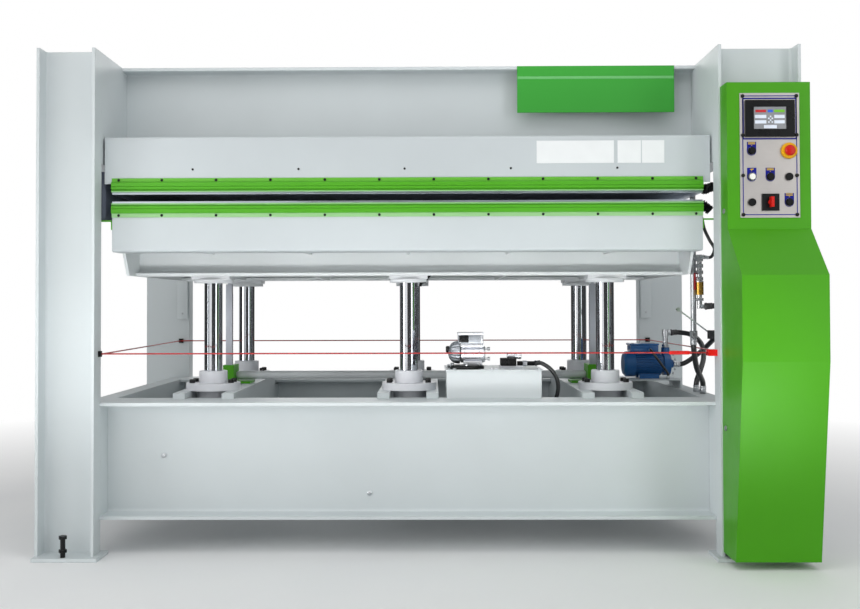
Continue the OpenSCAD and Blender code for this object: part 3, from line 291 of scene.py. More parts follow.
STOP_RED = plastic("stop_red", "C8190F", rough=0.3, gloss=0.25)
STOP_YELLOW = plastic("stop_yellow", "E5A912", rough=0.34, gloss=0.25)
LAMP_WHITE = plastic("lamp_white", "EDEDE6", rough=0.22)
PLATE_BLUE = plastic("plate_blue", "0B1584", rough=0.34, gloss=0.2)
PLATE_YELLOW = plastic("plate_yellow", "DDB91E", rough=0.36, gloss=0.2)
PLATE_PALE = plastic("plate_pale", "E4E7E8", rough=0.36, fleck=0.02)

SCREEN_LIT = plastic("screen_lit", "8E9094", rough=0.18, grain=0.02)
SCREEN_RED = plastic("screen_red", "C03036", rough=0.18, grain=0.02)
SCREEN_BLUE = plastic("screen_blue", "3C6BE0", rough=0.18, grain=0.02)
SCREEN_GREEN = plastic("screen_green", "7BC93A", rough=0.18, grain=0.02)
SCREEN_WHITE = plastic("screen_white", "E3EAF6", rough=0.18, grain=0.02)
SIGN_LINE = paint("sign_line", "6DBE70", rough=0.4)

NODE_FINISH = {
    "upper_insulation": INSULATION, "upper_platen": PLATEN, "upper_rails": UPPER_RAIL_GREEN,
    "upper_covers": SHADED_PANEL_PAINT,
    "bed_frame": LIT_BED_FRAME_PAINT, "lower_insulation": INSULATION, "lower_platen": PLATEN,
    "lower_rails": LOWER_RAIL_GREEN, "aprons": SHADED_PANEL_PAINT,
    "front_cylinders": GLAND_PAINT, "rear_cylinders": GLAND_PAINT, "gland_rings": GLAND_PAINT,
    "front_piston_rods": ROD_CHROME, "rear_piston_rods": ROD_CHROME,
    "flange_bolts": BLACK_STEEL, "levelling_bolts": BLACK_STEEL,
    "racks": RACK_STEEL, "pinions": RACK_STEEL, "torsion_shaft": SHAFT_PAINT,
    "pinion_housings": HOUSING_GREEN,
    "oil_tank": TANK_PAINT, "oil_pump_motor": CAST, "valve_block": VALVE_STEEL,
    "water_pump_motor": PUMP_BLUE, "water_pump_casing": PUMP_BLUE, "pump_outlet_pipe": ZINC,
    "riser_pipe": ZINC, "valve_column": VALVE_COLUMN, "valve_lever": LEVER_RED,
    "limit_switch": BLACK_PLASTIC, "limit_switch_lever": ZINC,
    "trip_rope": ROPE_RED, "rope_switch": SLEEVE_RED, "rope_guides": BLACK_PLASTIC,
    "control_cabinet": CABINET_GREEN, "control_panel": PANEL_STEEL, "touch_screen": SCREEN_BLACK,
    "button_bezels": BLACK_PLASTIC, "emergency_stop": STOP_RED, "main_switch_handle": STOP_RED,
    "lamp_button": LAMP_WHITE, "upper_left_button": BLACK_PLASTIC, "middle_button": BLACK_PLASTIC,
    "lower_right_button": BLACK_PLASTIC, "sign_plate": SIGN_GREEN,
}
for node_name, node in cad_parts.items():
    node.data.materials.clear()
    node.data.materials.append(NODE_FINISH.get(node_name, FRAME_PAINT))


# Mesh helpers

def turned(direction):
    """Rotation that takes +Z to a direction."""
    return Z_AXIS.rotation_difference(Vector(direction)).to_matrix().to_4x4()


def add_lathe(bm, at, direction, profile, segments=24, ribs=0.0):
    """Revolves (radius, height) pairs round a direction from a point, closed at both ends.
    Every other segment stands out by the share ribs of the radius.
    """
    place = Matrix.Translation(at) @ turned(direction)
    rings = []
    for radius, height in profile:
        if radius == 0:
            rings.append([bm.verts.new(place @ Vector((0, 0, height)))])
            continue
        angles = [2 * math.pi * k / segments for k in range(segments)]
        radii = [radius * (1 + ribs * (k % 2)) for k in range(segments)]
        rings.append([bm.verts.new(place @ Vector((r * math.cos(a), r * math.sin(a), height)))
                      for r, a in zip(radii, angles)])
    for low, high in zip(rings, rings[1:]):
        for k in range(segments):
            n = (k + 1) % segments
            corners = [low[k % len(low)], low[n % len(low)], high[n % len(high)], high[k % len(high)]]
            bm.faces.new(list(dict.fromkeys(corners)))
    for ring, flip in ((rings[0], True), (rings[-1], False)):
        if len(ring) > 1:
            bm.faces.new(list(reversed(ring)) if flip else ring)


def add_rod(bm, a, b, radius):
    """A plain round bar between two points."""
    a, b = Vector(a), Vector(b)
    add_lathe(bm, a, b - a, [(radius, 0), (radius, (b - a).length)], 20)


def add_box(bm, low, high, bevel=0.0):
    """A box between two corners; its edges are rounded where bevel is over 0."""
    low, high = Vector(low), Vector(high)
    size, middle = high - low, (low + high) / 2
    made = bmesh.ops.create_cube(bm, size=1, matrix=Matrix.Translation(middle) @ Matrix.Diagonal((*size, 1)))
    if bevel:
        edges = list(dict.fromkeys(e for v in made["verts"] for e in v.link_edges))
        bmesh.ops.bevel(bm, geom=edges, offset=bevel, segments=2, profile=0.6, affect="EDGES")


def add_button_screw(bm, at, direction, diameter):
    """Button-head screw with a hexagon socket."""
    r, at, direction = diameter / 2, Vector(at), Vector(direction)
    add_lathe(bm, at, direction, [(r, 0), (r, 0.12 * r), (0.86 * r, 0.5 * r), (0.6 * r, 0.72 * r),
                                  (0.42 * r, 0.75 * r), (0.4 * r, 0.3 * r), (0, 0.3 * r)], 18)


def add_hex(bm, at, direction, across, height):
    """Hexagon nut or fitting with chamfered corners."""
    r = across / math.sqrt(3)
    add_lathe(bm, Vector(at), direction,
              [(r * 0.93, 0), (r, height * 0.12), (r, height * 0.88), (r * 0.93, height)], 6)


def add_plate(bm, outline, y, thickness, material_index=0):
    """A flat plate facing the front: outline is a list of (x, z), y its front face."""
    front = [bm.verts.new((x, y, z)) for x, z in outline]
    back = [bm.verts.new((x, y + thickness, z)) for x, z in outline]
    faces = [bm.faces.new(front), bm.faces.new(list(reversed(back)))]
    for i in range(len(outline)):
        n = (i + 1) % len(outline)
        faces.append(bm.faces.new((front[i], back[i], back[n], front[n])))
    for face in faces:
        face.material_index = material_index


def rectangle(low_x, low_z, high_x, high_z):
    """Outline of an upright rectangle, for add_plate."""
    return [(low_x, low_z), (high_x, low_z), (high_x, high_z), (low_x, high_z)]


def add_border(bm, box, y, width, thickness):
    """Four strips that frame a rectangle (low x, low z, high x, high z)."""
    a, b, c, d = box
    for strip in ((a, b, c, b + width), (a, d - width, c, d), (a, b + width, a + width, d - width),
                  (c - width, b + width, c, d - width)):
        add_plate(bm, rectangle(*strip), y, thickness)


def piece(name, bm, material, body, smooth=40):
    """Turns a bmesh into an object that rides on a body, in one material or a list of them."""
    bmesh.ops.recalc_face_normals(bm, faces=bm.faces)
    mesh = bpy.data.meshes.new(name)
    bm.to_mesh(mesh)
    bm.free()
    for each in material if isinstance(material, list) else [material]:
        mesh.materials.append(each)
    mesh.shade_smooth()
    mesh.set_sharp_from_angle(angle=math.radians(smooth))
    obj = bpy.data.objects.new(name, mesh)
    scene.collection.objects.link(obj)
    if body:
        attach(obj, body)
    return obj


# Places taken from the frame

FRONT, BACK = -1, 1
upper_rail_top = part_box("upper_rails")[1].z
lower_rail_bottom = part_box("lower_rails")[0].z
cover_low, cover_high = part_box("upper_covers")


# Hoses and cables: the routes are the ones in the part's source

ROUTES = {
    "outlet_hose": (0.024, "frame", "frame_hoses", [
        (1.2735, 0.040, 0.891), (1.320, 0.040, 0.891), (1.365, -0.020, 0.880), (1.388, -0.105, 0.840),
        (1.375, -0.190, 0.780), (1.340, -0.265, 0.725), (1.315, -0.295, 0.676), (1.315, -0.295, 0.6285)]),
    "inlet_hose": (0.024, "frame", "frame_hoses", [
        (1.2855, 0.040, 0.738), (1.335, 0.040, 0.738), (1.385, 0.010, 0.775), (1.425, -0.070, 0.830),
        (1.450, -0.180, 0.895), (1.450, -0.300, 0.950), (1.425, -0.430, 0.990), (1.352, -0.543, 1.020),
        (1.2875, -0.543, 1.020)]),
    "return_hose": (0.024, "frame", "frame_hoses", [
        (1.247, -0.515, 0.8835), (1.247, -0.515, 0.836), (1.272, -0.465, 0.750), (1.320, -0.380, 0.680),
        (1.320, -0.380, 0.6285)]),
    "oil_hose": (0.018, "frame", "frame_hoses", [
        (0.5535, -0.501, 0.772), (0.585, -0.501, 0.772), (0.630, -0.500, 0.740), (0.655, -0.495, 0.690),
        (0.652, -0.490, 0.630), (0.628, -0.483, 0.585), (0.600, -0.480, 0.568), (0.5725, -0.480, 0.568)]),
    "motor_cable": (0.012, "frame", "frame_hoses", [
        (1.165, -0.0025, 0.806), (1.165, -0.026, 0.806), (1.185, -0.048, 0.775), (1.212, -0.057, 0.735),
        (1.238, -0.058, 0.698), (1.238, -0.058, 0.6695)]),
    "platen_line": (0.014, "bed", "platen_hose", [
        (1.229, -0.565, 1.4415), (1.258, -0.565, 1.438), (1.273, -0.566, 1.402), (1.284, -0.566, 1.354),
        (1.308, -0.560, 1.306), (1.330, -0.552, 1.270), (1.318, -0.543, 1.235), (1.2875, -0.543, 1.235)]),
}


def smooth_route(points, steps=8):
    """Points along the curve that runs through all the given ones."""
    p = [Vector(q) for q in points]
    route = []
    for i in range(len(p) - 1):
        a, b, c, e = p[max(i - 1, 0)], p[i], p[i + 1], p[min(i + 2, len(p) - 1)]
        for k in range(steps):
            t = k / steps
            route.append(0.5 * (2 * b + t * (c - a) + t * t * (2 * a - 5 * b + 4 * c - e)
                                + t ** 3 * (3 * b - 3 * c + e - a)))
    return route + [p[-1]]


def add_tube(bm, route, radius, segments=14):
    """Sweeps a circle along a route with turning kept to a minimum."""
    way = (route[1] - route[0]).normalized()
    side = way.orthogonal().normalized()
    rings = []
    for i, point in enumerate(route):
        new_way = (route[min(i + 1, len(route) - 1)] - route[max(i - 1, 0)]).normalized()
        side = (way.rotation_difference(new_way) @ side).normalized()
        way = new_way
        across = way.cross(side)
        rings.append([bm.verts.new(point + radius * (math.cos(a) * side + math.sin(a) * across))
                      for a in (2 * math.pi * k / segments for k in range(segments))])
    for low, high in zip(rings, rings[1:]):
        for k in range(segments):
            n = (k + 1) % segments
            bm.faces.new((low[k], low[n], high[n], high[k]))
    bm.faces.new(list(reversed(rings[0])))
    bm.faces.new(rings[-1])


BLACK_FERRULES = ("oil_hose_start", "inlet_hose_end", "outlet_hose_start")


def make_hose(name, diameter, body, node_name, points):
    """A hose with a crimped ferrule and a hexagon at each end. On the bed, the tube rides on no body and its
    start ferrule rides on the bed.
    """
    route = smooth_route(points)
    tube = bmesh.new()
    add_tube(tube, route, diameter / 2)
    bends = body == "bed"
    hose = piece(name, tube, HOSE_BLACK, None if bends else body, smooth=60)
    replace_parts(hose, node_name)
    for tag, end, inner in (("start", route[0], route[3]), ("end", route[-1], route[-4])):
        bm = bmesh.new()
        way, r = (inner - end).normalized(), diameter / 2
        add_hex(bm, end + way * 0.001, way, diameter * 1.15, diameter * 0.45)
        add_lathe(bm, end + way * diameter * 0.45, way,
                  [(r * 1.06, 0), (r * 1.16, r * 0.2), (r * 1.16, r * 1.0), (r * 1.08, r * 1.15),
                   (r * 1.16, r * 1.3), (r * 1.16, r * 1.8), (r * 1.02, r * 1.9)], 20)
        on = "frame" if tag == "end" else body
        finish = HOSE_BLACK if name + "_" + tag in BLACK_FERRULES else ZINC
        piece(name + "_ferrule_" + tag, bm, finish, on)
    if bends:
        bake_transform(hose)


for hose_name, (hose_d, hose_body, hose_node, hose_points) in ROUTES.items():
    make_hose(hose_name, hose_d, hose_body, hose_node, hose_points)


# Screws along the rails and covers

RAIL_FLANGE_T = 0.004
RAIL_SCREW_INSET, RAIL_SCREW_D = 0.008, 0.0115
RAIL_SCREW_END_X, RAIL_SCREW_FIRST_X, RAIL_SCREW_STEP = 1.200, -1.020, 0.2267
COVER_SCREW_RISE, COVER_SCREW_D = 0.037, 0.0095
COVER_SCREW_FIRST_X, COVER_SCREW_STEP = -0.892, 0.442


def rail_screws():
    """Black button-head screws: two near the ends and ten between them, on every rail."""
    row = [RAIL_SCREW_FIRST_X + RAIL_SCREW_STEP * i for i in range(10)]
    row = [-RAIL_SCREW_END_X, *row, RAIL_SCREW_END_X]
    for rail, body, z in (("upper_rails", "frame", upper_rail_top - RAIL_SCREW_INSET),
                          ("lower_rails", "bed", lower_rail_bottom + RAIL_SCREW_INSET)):
        bm = bmesh.new()
        for side in (FRONT, BACK):
            face = side * (cover_high.y + RAIL_FLANGE_T)
            for x in row:
                add_button_screw(bm, (x, face, z), (0, side, 0), RAIL_SCREW_D)
        piece(rail + "_screws", bm, BLACK_STEEL, body)


def cover_screws():
    """Smaller screws in a row above each upper rail."""
    bm = bmesh.new()
    for side in (FRONT, BACK):
        for i in range(5):
            x = COVER_SCREW_FIRST_X + COVER_SCREW_STEP * i
            at = (x, side * cover_high.y, upper_rail_top + COVER_SCREW_RISE)
            add_button_screw(bm, at, (0, side, 0), COVER_SCREW_D)
    piece("cover_screws", bm, BLACK_STEEL, "frame")


rail_screws()
cover_screws()


# Screws of the cylinders, and the power units

FLANGE_R, CYLINDER_ROW_Y = 0.120, 0.410
SCREW_CIRCLE_R, SCREW_HEAD_R = 0.0932, 0.0125
SCREW_ANGLES = (22.5, 157.5, 202.5, 337.5)
OIL_SEAT_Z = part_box("oil_tank")[1].z - 0.0015
BELL_SCREWS_R = 0.068


def flange_screws():
    """Socket-head screws beside each gland, where the flange lies on its bars."""
    r = SCREW_HEAD_R
    head = [(r, 0), (r, 0.014), (r * 0.9, 0.016), (0.0068, 0.016), (0.0064, 0.008), (0, 0.008)]
    pitch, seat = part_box("front_cylinders")[1].x - FLANGE_R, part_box("gland_rings")[0].z
    bm = bmesh.new()
    for x in (-pitch, 0, pitch):
        for y in (-CYLINDER_ROW_Y, CYLINDER_ROW_Y):
            for a in map(math.radians, SCREW_ANGLES):
                at = (x + SCREW_CIRCLE_R * math.cos(a), y + SCREW_CIRCLE_R * math.sin(a), seat)
                add_lathe(bm, at, Z_AXIS, head, 24, ribs=0.03)
    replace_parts(piece("flange_screws", bm, BLACK_STEEL, "frame"), "flange_bolts")


def oil_pump():
    """Motor with its cowl, terminal box, bell flange and lifting eye."""
    y, z = -0.527, 0.8145
    bell = (0.2515, y, OIL_SEAT_Z)
    body, cowl, black, zinc = (bmesh.new() for _ in range(4))
    add_lathe(body, (0.227, y, z), X_AXIS,
              [(0.030, 0), (0.036, 0.003), (0.036, 0.018), (0.0335, 0.020), (0.0335, 0.080),
               (0.036, 0.082), (0.036, 0.100), (0.031, 0.108)], 48, ribs=0.03)
    add_box(body, (0.240, y - 0.028, 0.766), (0.322, y + 0.028, 0.786), 0.003)
    add_lathe(cowl, (0.226, y, z + 0.008), -X_AXIS,
              [(0.0455, 0), (0.0475, 0.004), (0.0470, 0.014), (0.0440, 0.027), (0.0370, 0.038),
               (0.0250, 0.047), (0.0130, 0.051), (0, 0.052)], 40, ribs=0.05)
    add_lathe(black, (0.178, y, 0.8355), -X_AXIS, [(0.0145, 0), (0.0145, 0.010), (0.0110, 0.014)], 24)
    add_lathe(black, bell, Z_AXIS,
              [(0.0790, 0), (0.0795, 0.003), (0.0795, 0.013), (0.0760, 0.0165), (0.0440, 0.0175)], 56)
    for k in range(6):
        a = math.radians(30 + 60 * k)
        at = (bell[0] + BELL_SCREWS_R * math.cos(a), y + BELL_SCREWS_R * math.sin(a), 0.767)
        add_hex(zinc, at, Z_AXIS, 0.013, 0.008)
    for height in (0.838, 0.795):
        add_rod(zinc, (0.334, y - 0.014, height), (0.346, y - 0.014, height), 0.0045)
        add_hex(zinc, (0.345, y - 0.014, height), X_AXIS, 0.0135, 0.011)

    # Terminal box: base, box, lid, corner posts and cable entry
    add_box(body, (0.229, -0.560, 0.845), (0.328, -0.494, 0.862), 0.002)
    add_box(cowl, (0.217, -0.566, 0.861), (0.326, -0.488, 0.903), 0.006)
    add_box(body, (0.215, -0.568, 0.900), (0.328, -0.486, 0.910), 0.003)
    for post_x in (0.223, 0.316):
        add_box(body, (post_x, -0.5665, 0.864), (post_x + 0.007, -0.560, 0.900), 0.001)
    add_box(black, (0.221, -0.5735, 0.866), (0.262, -0.5655, 0.897), 0.003)
    add_lathe(black, (0.242, -0.573, 0.882), -Y_AXIS, [(0.0105, 0), (0.0105, 0.009), (0.0085, 0.011)], 24)

    eye = [Vector((0.176, -0.566, 0.7625)) + 0.0085 * Vector((math.cos(a), 0, math.sin(a)))
           for a in (2 * math.pi * k / 20 for k in range(19))]
    add_tube(zinc, eye, 0.0028, 10)
    motor = piece("oil_motor", body, BRIGHT_CAST, "frame")
    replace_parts(motor, "oil_pump_motor")
    piece("oil_motor_cowl", cowl, CAST, "frame", smooth=20)
    piece("oil_motor_black_parts", black, BLACK_STEEL, "frame")
    piece("oil_motor_screws", zinc, ZINC, "frame")


def valve_manifold():
    """Solenoid, cartridge and fittings beside the oil motor."""
    y, hose_y, hose_z = -0.512, -0.501, 0.772
    steel, black = bmesh.new(), bmesh.new()
    add_box(steel, (0.401, -0.552, OIL_SEAT_Z), (0.500, -0.470, 0.765), 0.002)
    add_box(black, (0.402, -0.557, 0.764), (0.470, -0.490, 0.797), 0.004)
    add_lathe(black, (0.436, -0.557, 0.780), -Y_AXIS, [(0.011, 0), (0.011, 0.006), (0.009, 0.008)], 24)
    add_lathe(steel, (0.432, y, 0.8055), X_AXIS,
              [(0.0120, 0), (0.0138, 0.002), (0.0138, 0.032), (0.0118, 0.034), (0.0118, 0.040),
               (0.0138, 0.042), (0.0138, 0.060), (0.0110, 0.062)], 32)
    add_box(steel, (0.440, y - 0.012, 0.795), (0.462, y + 0.012, 0.802), 0.001)
    add_box(black, (0.476, -0.548, 0.764), (0.498, -0.500, 0.783), 0.003)
    add_hex(steel, (0.499, hose_y, hose_z), X_AXIS, 0.021, 0.021)
    add_rod(black, (0.519, hose_y, hose_z), (0.5535, hose_y, hose_z), 0.0098)
    for x, top in ((0.200, 0.757), (0.360, 0.758), (0.380, 0.757), (0.560, 0.758)):
        add_hex(steel, (x, -0.608, OIL_SEAT_Z), Z_AXIS, 0.014, top - OIL_SEAT_Z)
    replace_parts(piece("valve_manifold", steel, BRIGHT_CAST, "frame"), "valve_block")
    piece("valve_manifold_black_parts", black, BLACK_PLASTIC, "frame")


def water_pump():
    """Terminal box and casing screws of the water pump."""
    y, z, circle_r = 0.040, 0.738, 0.046
    box, zinc = bmesh.new(), bmesh.new()
    add_box(box, (1.070, -0.009, 0.797), (1.204, 0.089, 0.832), 0.008)
    add_box(box, (1.066, -0.012, 0.829), (1.208, 0.092, 0.839), 0.004)
    add_lathe(box, (1.165, -0.009, 0.806), -Y_AXIS, [(0.0115, 0), (0.0115, 0.006), (0.009, 0.009)], 20)
    for x in (1.080, 1.194):
        add_button_screw(zinc, (x, 0.000, 0.839), Z_AXIS, 0.009)
    for k in range(6):
        a = math.radians(30 + 60 * k)
        add_hex(zinc, (1.2845, y + circle_r * math.cos(a), z + circle_r * math.sin(a)), X_AXIS, 0.011, 0.006)
    piece("pump_terminal_box", box, PUMP_BLUE, "frame")
    piece("pump_screws", zinc, ZINC, "frame")


def rope_sleeve():
    """Moulded grip on the trip rope."""
    bm = bmesh.new()
    add_lathe(bm, (1.075, -0.790, 0.831), X_AXIS,
              [(0.0035, 0), (0.0072, 0.004), (0.0078, 0.010), (0.0078, 0.078), (0.0070, 0.084),
               (0.0035, 0.088)], 24)
    piece("rope_sleeve", bm, SLEEVE_RED, "frame")


flange_screws()
oil_pump()
valve_manifold()
water_pump()
rope_sleeve()


# Ends of the platens

def end_curtain():
    """Dark curtain down the left end, with a strip turned outwards at the front."""
    bm = bmesh.new()
    add_box(bm, (-1.2660, -0.736, 1.386), (-1.2606, 0.736, 1.722), 0.0008)
    add_box(bm, (-1.2900, -0.7385, 1.386), (-1.2640, -0.7345, 1.590), 0.0008)
    piece("end_curtain", bm, CURTAIN, "frame")


def bed_brackets():
    """Green angles on the bed's front corners."""
    bm = bmesh.new()
    for side in (-1, 1):
        for low, high in (((1.2285, -0.7515, 1.345), (1.2335, -0.7405, 1.386)),
                          ((1.2285, -0.7515, 1.3795), (1.2775, -0.7405, 1.386))):
            xs = sorted((side * low[0], side * high[0]))
            add_box(bm, (xs[0], low[1], low[2]), (xs[1], high[1], high[2]), 0.001)
    piece("bed_brackets", bm, UPPER_RAIL_GREEN, "bed")


def port_wrap(name, body, y, z, rise):
    """Pipe joint at a platen's right end under black wrapping, which makes it lumpy."""
    radius, sides = 0.0185, 18
    route = smooth_route([(1.2310, y, z), (1.2390, y, z), (1.2500, y, z + 0.2 * rise),
                          (1.2640, y, z + 0.6 * rise), (1.2770, y, z + rise)], 5)
    bm = bmesh.new()
    add_tube(bm, route, radius, sides)
    for k, vert in enumerate(bm.verts):
        middle = route[k // sides]
        lump = 1 + 0.16 * math.sin(k * 0.83) + 0.14 * math.sin(k // sides * 1.9)
        vert.co = middle + (vert.co - middle) * lump
    piece(name, bm, BLACK_PLASTIC, body, smooth=60)


def rod_head_shadow_plate():
    """Stepped black plate beside the centre rod's head: a painted shadow of the head, standing where its
    shadow falls.
    """
    bm = bmesh.new()
    add_plate(bm, [(0.046, 1.112), (0.058, 1.112), (0.062, 1.124), (0.078, 1.127), (0.086, 1.142),
                   (0.100, 1.160), (0.066, 1.160), (0.062, 1.140), (0.050, 1.136)], -0.436, 0.012)
    piece("rod_head_shadow_plate", bm, BLACK_STEEL, "bed")


end_curtain()
bed_brackets()
port_wrap("upper_port_wrap", "frame", -0.738, 1.508, 0.012)
port_wrap("lower_port_wrap", "bed", -0.686, 1.450, -0.026)
rod_head_shadow_plate()


# Control panel

panel_low, panel_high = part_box("control_panel")
bezel_low, bezel_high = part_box("touch_screen")
panel_y = panel_low.y
LINE_INSET, LINE_W, FILM = 0.010, 0.0035, 0.0006
SCREEN_MARGIN, SCREEN_LINE_W, SCREEN_FILM = 0.010, 0.0055, 0.0004


def button_centre(node_name):
    """Centre of a node's box, as x and z."""
    low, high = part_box(node_name)
    return (low.x + high.x) / 2, (low.z + high.z) / 2


def panel_lines():
    """Blue border round the panel and a heavier one round the screen."""
    bm = bmesh.new()
    add_border(bm, (panel_low.x + LINE_INSET, panel_low.z + LINE_INSET,
                    panel_high.x - LINE_INSET, panel_high.z - LINE_INSET), panel_y - FILM, LINE_W, FILM)
    add_border(bm, (bezel_low.x - SCREEN_MARGIN, bezel_low.z - SCREEN_MARGIN,
                    bezel_high.x + SCREEN_MARGIN, bezel_high.z + SCREEN_MARGIN),
               panel_y - FILM, SCREEN_LINE_W, FILM)
    piece("panel_lines", bm, PLATE_BLUE, "frame")


def panel_screws():
    """Black domed screws down both sides of the panel."""
    bm = bmesh.new()
    inset = LINE_INSET + LINE_W / 2
    low, high = panel_low.z + inset, panel_high.z - inset
    dome = [(0.0075, 0), (0.0075, 0.002), (0.0062, 0.0048), (0.0032, 0.0066), (0, 0.007)]
    for x in (panel_low.x + inset, panel_high.x - inset):
        for share in (0, 0.33, 0.67, 1):
            add_lathe(bm, (x, panel_y - FILM, low + (high - low) * share), -Y_AXIS, dome, 20)
    piece("panel_screws", bm, BLACK_STEEL, "frame")


def button_label(name, centre, lines):
    """Blue legend plate round a button, with plain yellow strips or a bent mark on it."""
    x, z = centre
    r, hole, rise = 0.0185, 0.0160, 0.036
    count = 24
    angles = [math.pi + math.pi * k / (count - 1) for k in range(count)]
    outer = [(x + r * math.cos(a), z + r * math.sin(a)) for a in angles]
    outer += [(x + r, z + rise), (x + r / 3, z + rise), (x - r / 3, z + rise), (x - r, z + rise)]
    inner = [(x + hole * math.cos(a), z + hole * math.sin(a)) for a in angles]
    inner += [(x + hole * math.cos(a), z + hole * math.sin(a)) for a in (0.6, 1.2, 1.94, 2.54)]
    bm = bmesh.new()
    for y, turn in ((panel_y - FILM, 1), (panel_y, -1)):
        loops = [[bm.verts.new((a, y, b)) for a, b in corners] for corners in (outer, inner)]
        for k in range(len(outer)):
            n = (k + 1) % len(outer)
            bm.faces.new([loops[0][k], loops[0][n], loops[1][n], loops[1][k]][::turn])
    for loop in (outer, inner):
        for (ax, az), (bx, bz) in zip(loop, loop[1:] + loop[:1]):
            bm.faces.new([bm.verts.new(p) for p in ((ax, panel_y - FILM, az), (bx, panel_y - FILM, bz),
                                                    (bx, panel_y, bz), (ax, panel_y, az))])
    bmesh.ops.remove_doubles(bm, verts=bm.verts, dist=1e-6)
    marks = bmesh.new()
    y = panel_y - 2 * FILM
    if lines:
        for low, high, half in ((0.0322, 0.0345, 0.014), (0.0262, 0.0295, 0.014), (0.0205, 0.0225, 0.0018)):
            add_plate(marks, rectangle(x - half, z + low, x + half, z + high), y, FILM)
    else:
        add_plate(marks, [(x - 0.008, z + 0.030), (x - 0.002, z + 0.0265), (x, z + 0.021),
                          (x + 0.001, z + 0.027), (x + 0.009, z + 0.031), (x + 0.002, z + 0.0325)], y, FILM)
    piece(name, bm, PLATE_BLUE, "frame")
    piece(name + "_marks", marks, PLATE_YELLOW, "frame")


def stop_collar():
    """Yellow collar over the stop button's bezel."""
    x, z = button_centre("emergency_stop")
    bm = bmesh.new()
    add_lathe(bm, (x, panel_y, z), -Y_AXIS,
              [(0.0318, 0), (0.0322, 0.002), (0.0318, 0.0078), (0.0300, 0.0092), (0.0165, 0.0092),
               (0.0165, 0.0084), (0.0312, 0.0084), (0.0312, 0)], 48)
    piece("stop_collar", bm, STOP_YELLOW, "frame")


def lamp_rim():
    """Chrome rim of the pilot lamp."""
    x, z = button_centre("lamp_button")
    bm = bmesh.new()
    add_lathe(bm, (x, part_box("button_bezels")[0].y, z), -Y_AXIS,
              [(0.0152, 0), (0.0152, 0.0012), (0.0128, 0.0012), (0.0128, 0)], 40)
    piece("lamp_rim", bm, CHROME, "frame")


def screen_picture():
    """Lit screen with plain coloured fields, behind a black bezel."""
    w, h = bezel_high.x - bezel_low.x, bezel_high.z - bezel_low.z
    y = bezel_low.y

    def field(x0, z0, x1, z1):
        """Shares of the bezel, from its lower left corner."""
        return rectangle(bezel_low.x + x0 * w, bezel_low.z + z0 * h,
                         bezel_low.x + x1 * w, bezel_low.z + z1 * h)

    bm = bmesh.new()
    add_plate(bm, field(0.17, 0.21, 0.82, 0.81), y - SCREEN_FILM, SCREEN_FILM, 0)
    for shares, colour in (((0.20, 0.66, 0.415, 0.73), 1), ((0.45, 0.66, 0.55, 0.73), 2),
                           ((0.58, 0.66, 0.79, 0.73), 3), ((0.19, 0.50, 0.42, 0.59), 4),
                           ((0.58, 0.50, 0.79, 0.59), 4), ((0.19, 0.355, 0.42, 0.445), 4),
                           ((0.58, 0.355, 0.79, 0.445), 4), ((0.37, 0.225, 0.63, 0.315), 4)):
        add_plate(bm, field(*shares), y - 2 * SCREEN_FILM, SCREEN_FILM, colour)
    for row in range(4):
        for column in range(3):
            if (row + column) % 2 == 0:
                square = field(0.455 + 0.035 * column, 0.375 + 0.05 * row,
                               0.485 + 0.035 * column, 0.415 + 0.05 * row)
                add_plate(bm, square, y - 2 * SCREEN_FILM, SCREEN_FILM, 4)
    piece("screen_picture", bm, [SCREEN_LIT, SCREEN_RED, SCREEN_BLUE, SCREEN_GREEN, SCREEN_WHITE],
          "frame")
    rim = bmesh.new()
    add_border(rim, (bezel_low.x + 0.15 * w, bezel_low.z + 0.19 * h, bezel_low.x + 0.84 * w,
                     bezel_low.z + 0.83 * h), y - 0.001, 0.002, 0.001)
    piece("screen_rim", rim, BLACK_PLASTIC, "frame")


panel_lines()
panel_screws()
for label_name, node_name, has_lines in (("start_label", "upper_left_button", True),
                                         ("lamp_label", "lamp_button", False),
                                         ("middle_label", "middle_button", True),
                                         ("lower_label", "lower_right_button", True)):
    button_label(label_name, button_centre(node_name), has_lines)
stop_collar()
lamp_rim()
screen_picture()


# Plates and covers

PLATE_T = 0.0008
PLATE_LOW_Z, PLATE_HIGH_Z = 1.617, 1.711


def pale_plates():
    """Bare plates on the upper cover, and the line along the sign."""
    plates, line = bmesh.new(), bmesh.new()
    for low_x, high_x in ((0.541, 0.862), (0.877, 0.974), (0.978, 1.071)):
        outline = rectangle(low_x, PLATE_LOW_Z, high_x, PLATE_HIGH_Z)
        add_plate(plates, outline, cover_low.y - PLATE_T, PLATE_T)
    piece("cover_plates", plates, PLATE_PALE, "frame")
    low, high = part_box("sign_plate")
    outline = rectangle(low.x + 0.002, high.z - 0.058, high.x - 0.002, high.z - 0.046)
    add_plate(line, outline, low.y - FILM, FILM)
    piece("sign_line", line, SIGN_LINE, "frame")


def inspection_covers():
    """Thin screwed covers on the rear columns."""
    column_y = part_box("rear_right_column")[0].y
    face, back = column_y - 0.0035, column_y - 0.0005
    for name, low_x, high_x in (("left_inspection_cover", -1.331, -1.271),
                                ("right_inspection_cover", 1.271, 1.331)):
        cover, screws = bmesh.new(), bmesh.new()
        add_box(cover, (low_x, face, 0.955), (high_x, back, 1.420), 0.001)
        for z in (0.985, 1.39):
            add_button_screw(screws, ((low_x + high_x) / 2, face, z), -Y_AXIS, 0.010)
        piece(name, cover, FRAME_PAINT, "frame")
        piece(name + "_screws", screws, ZINC, "frame")


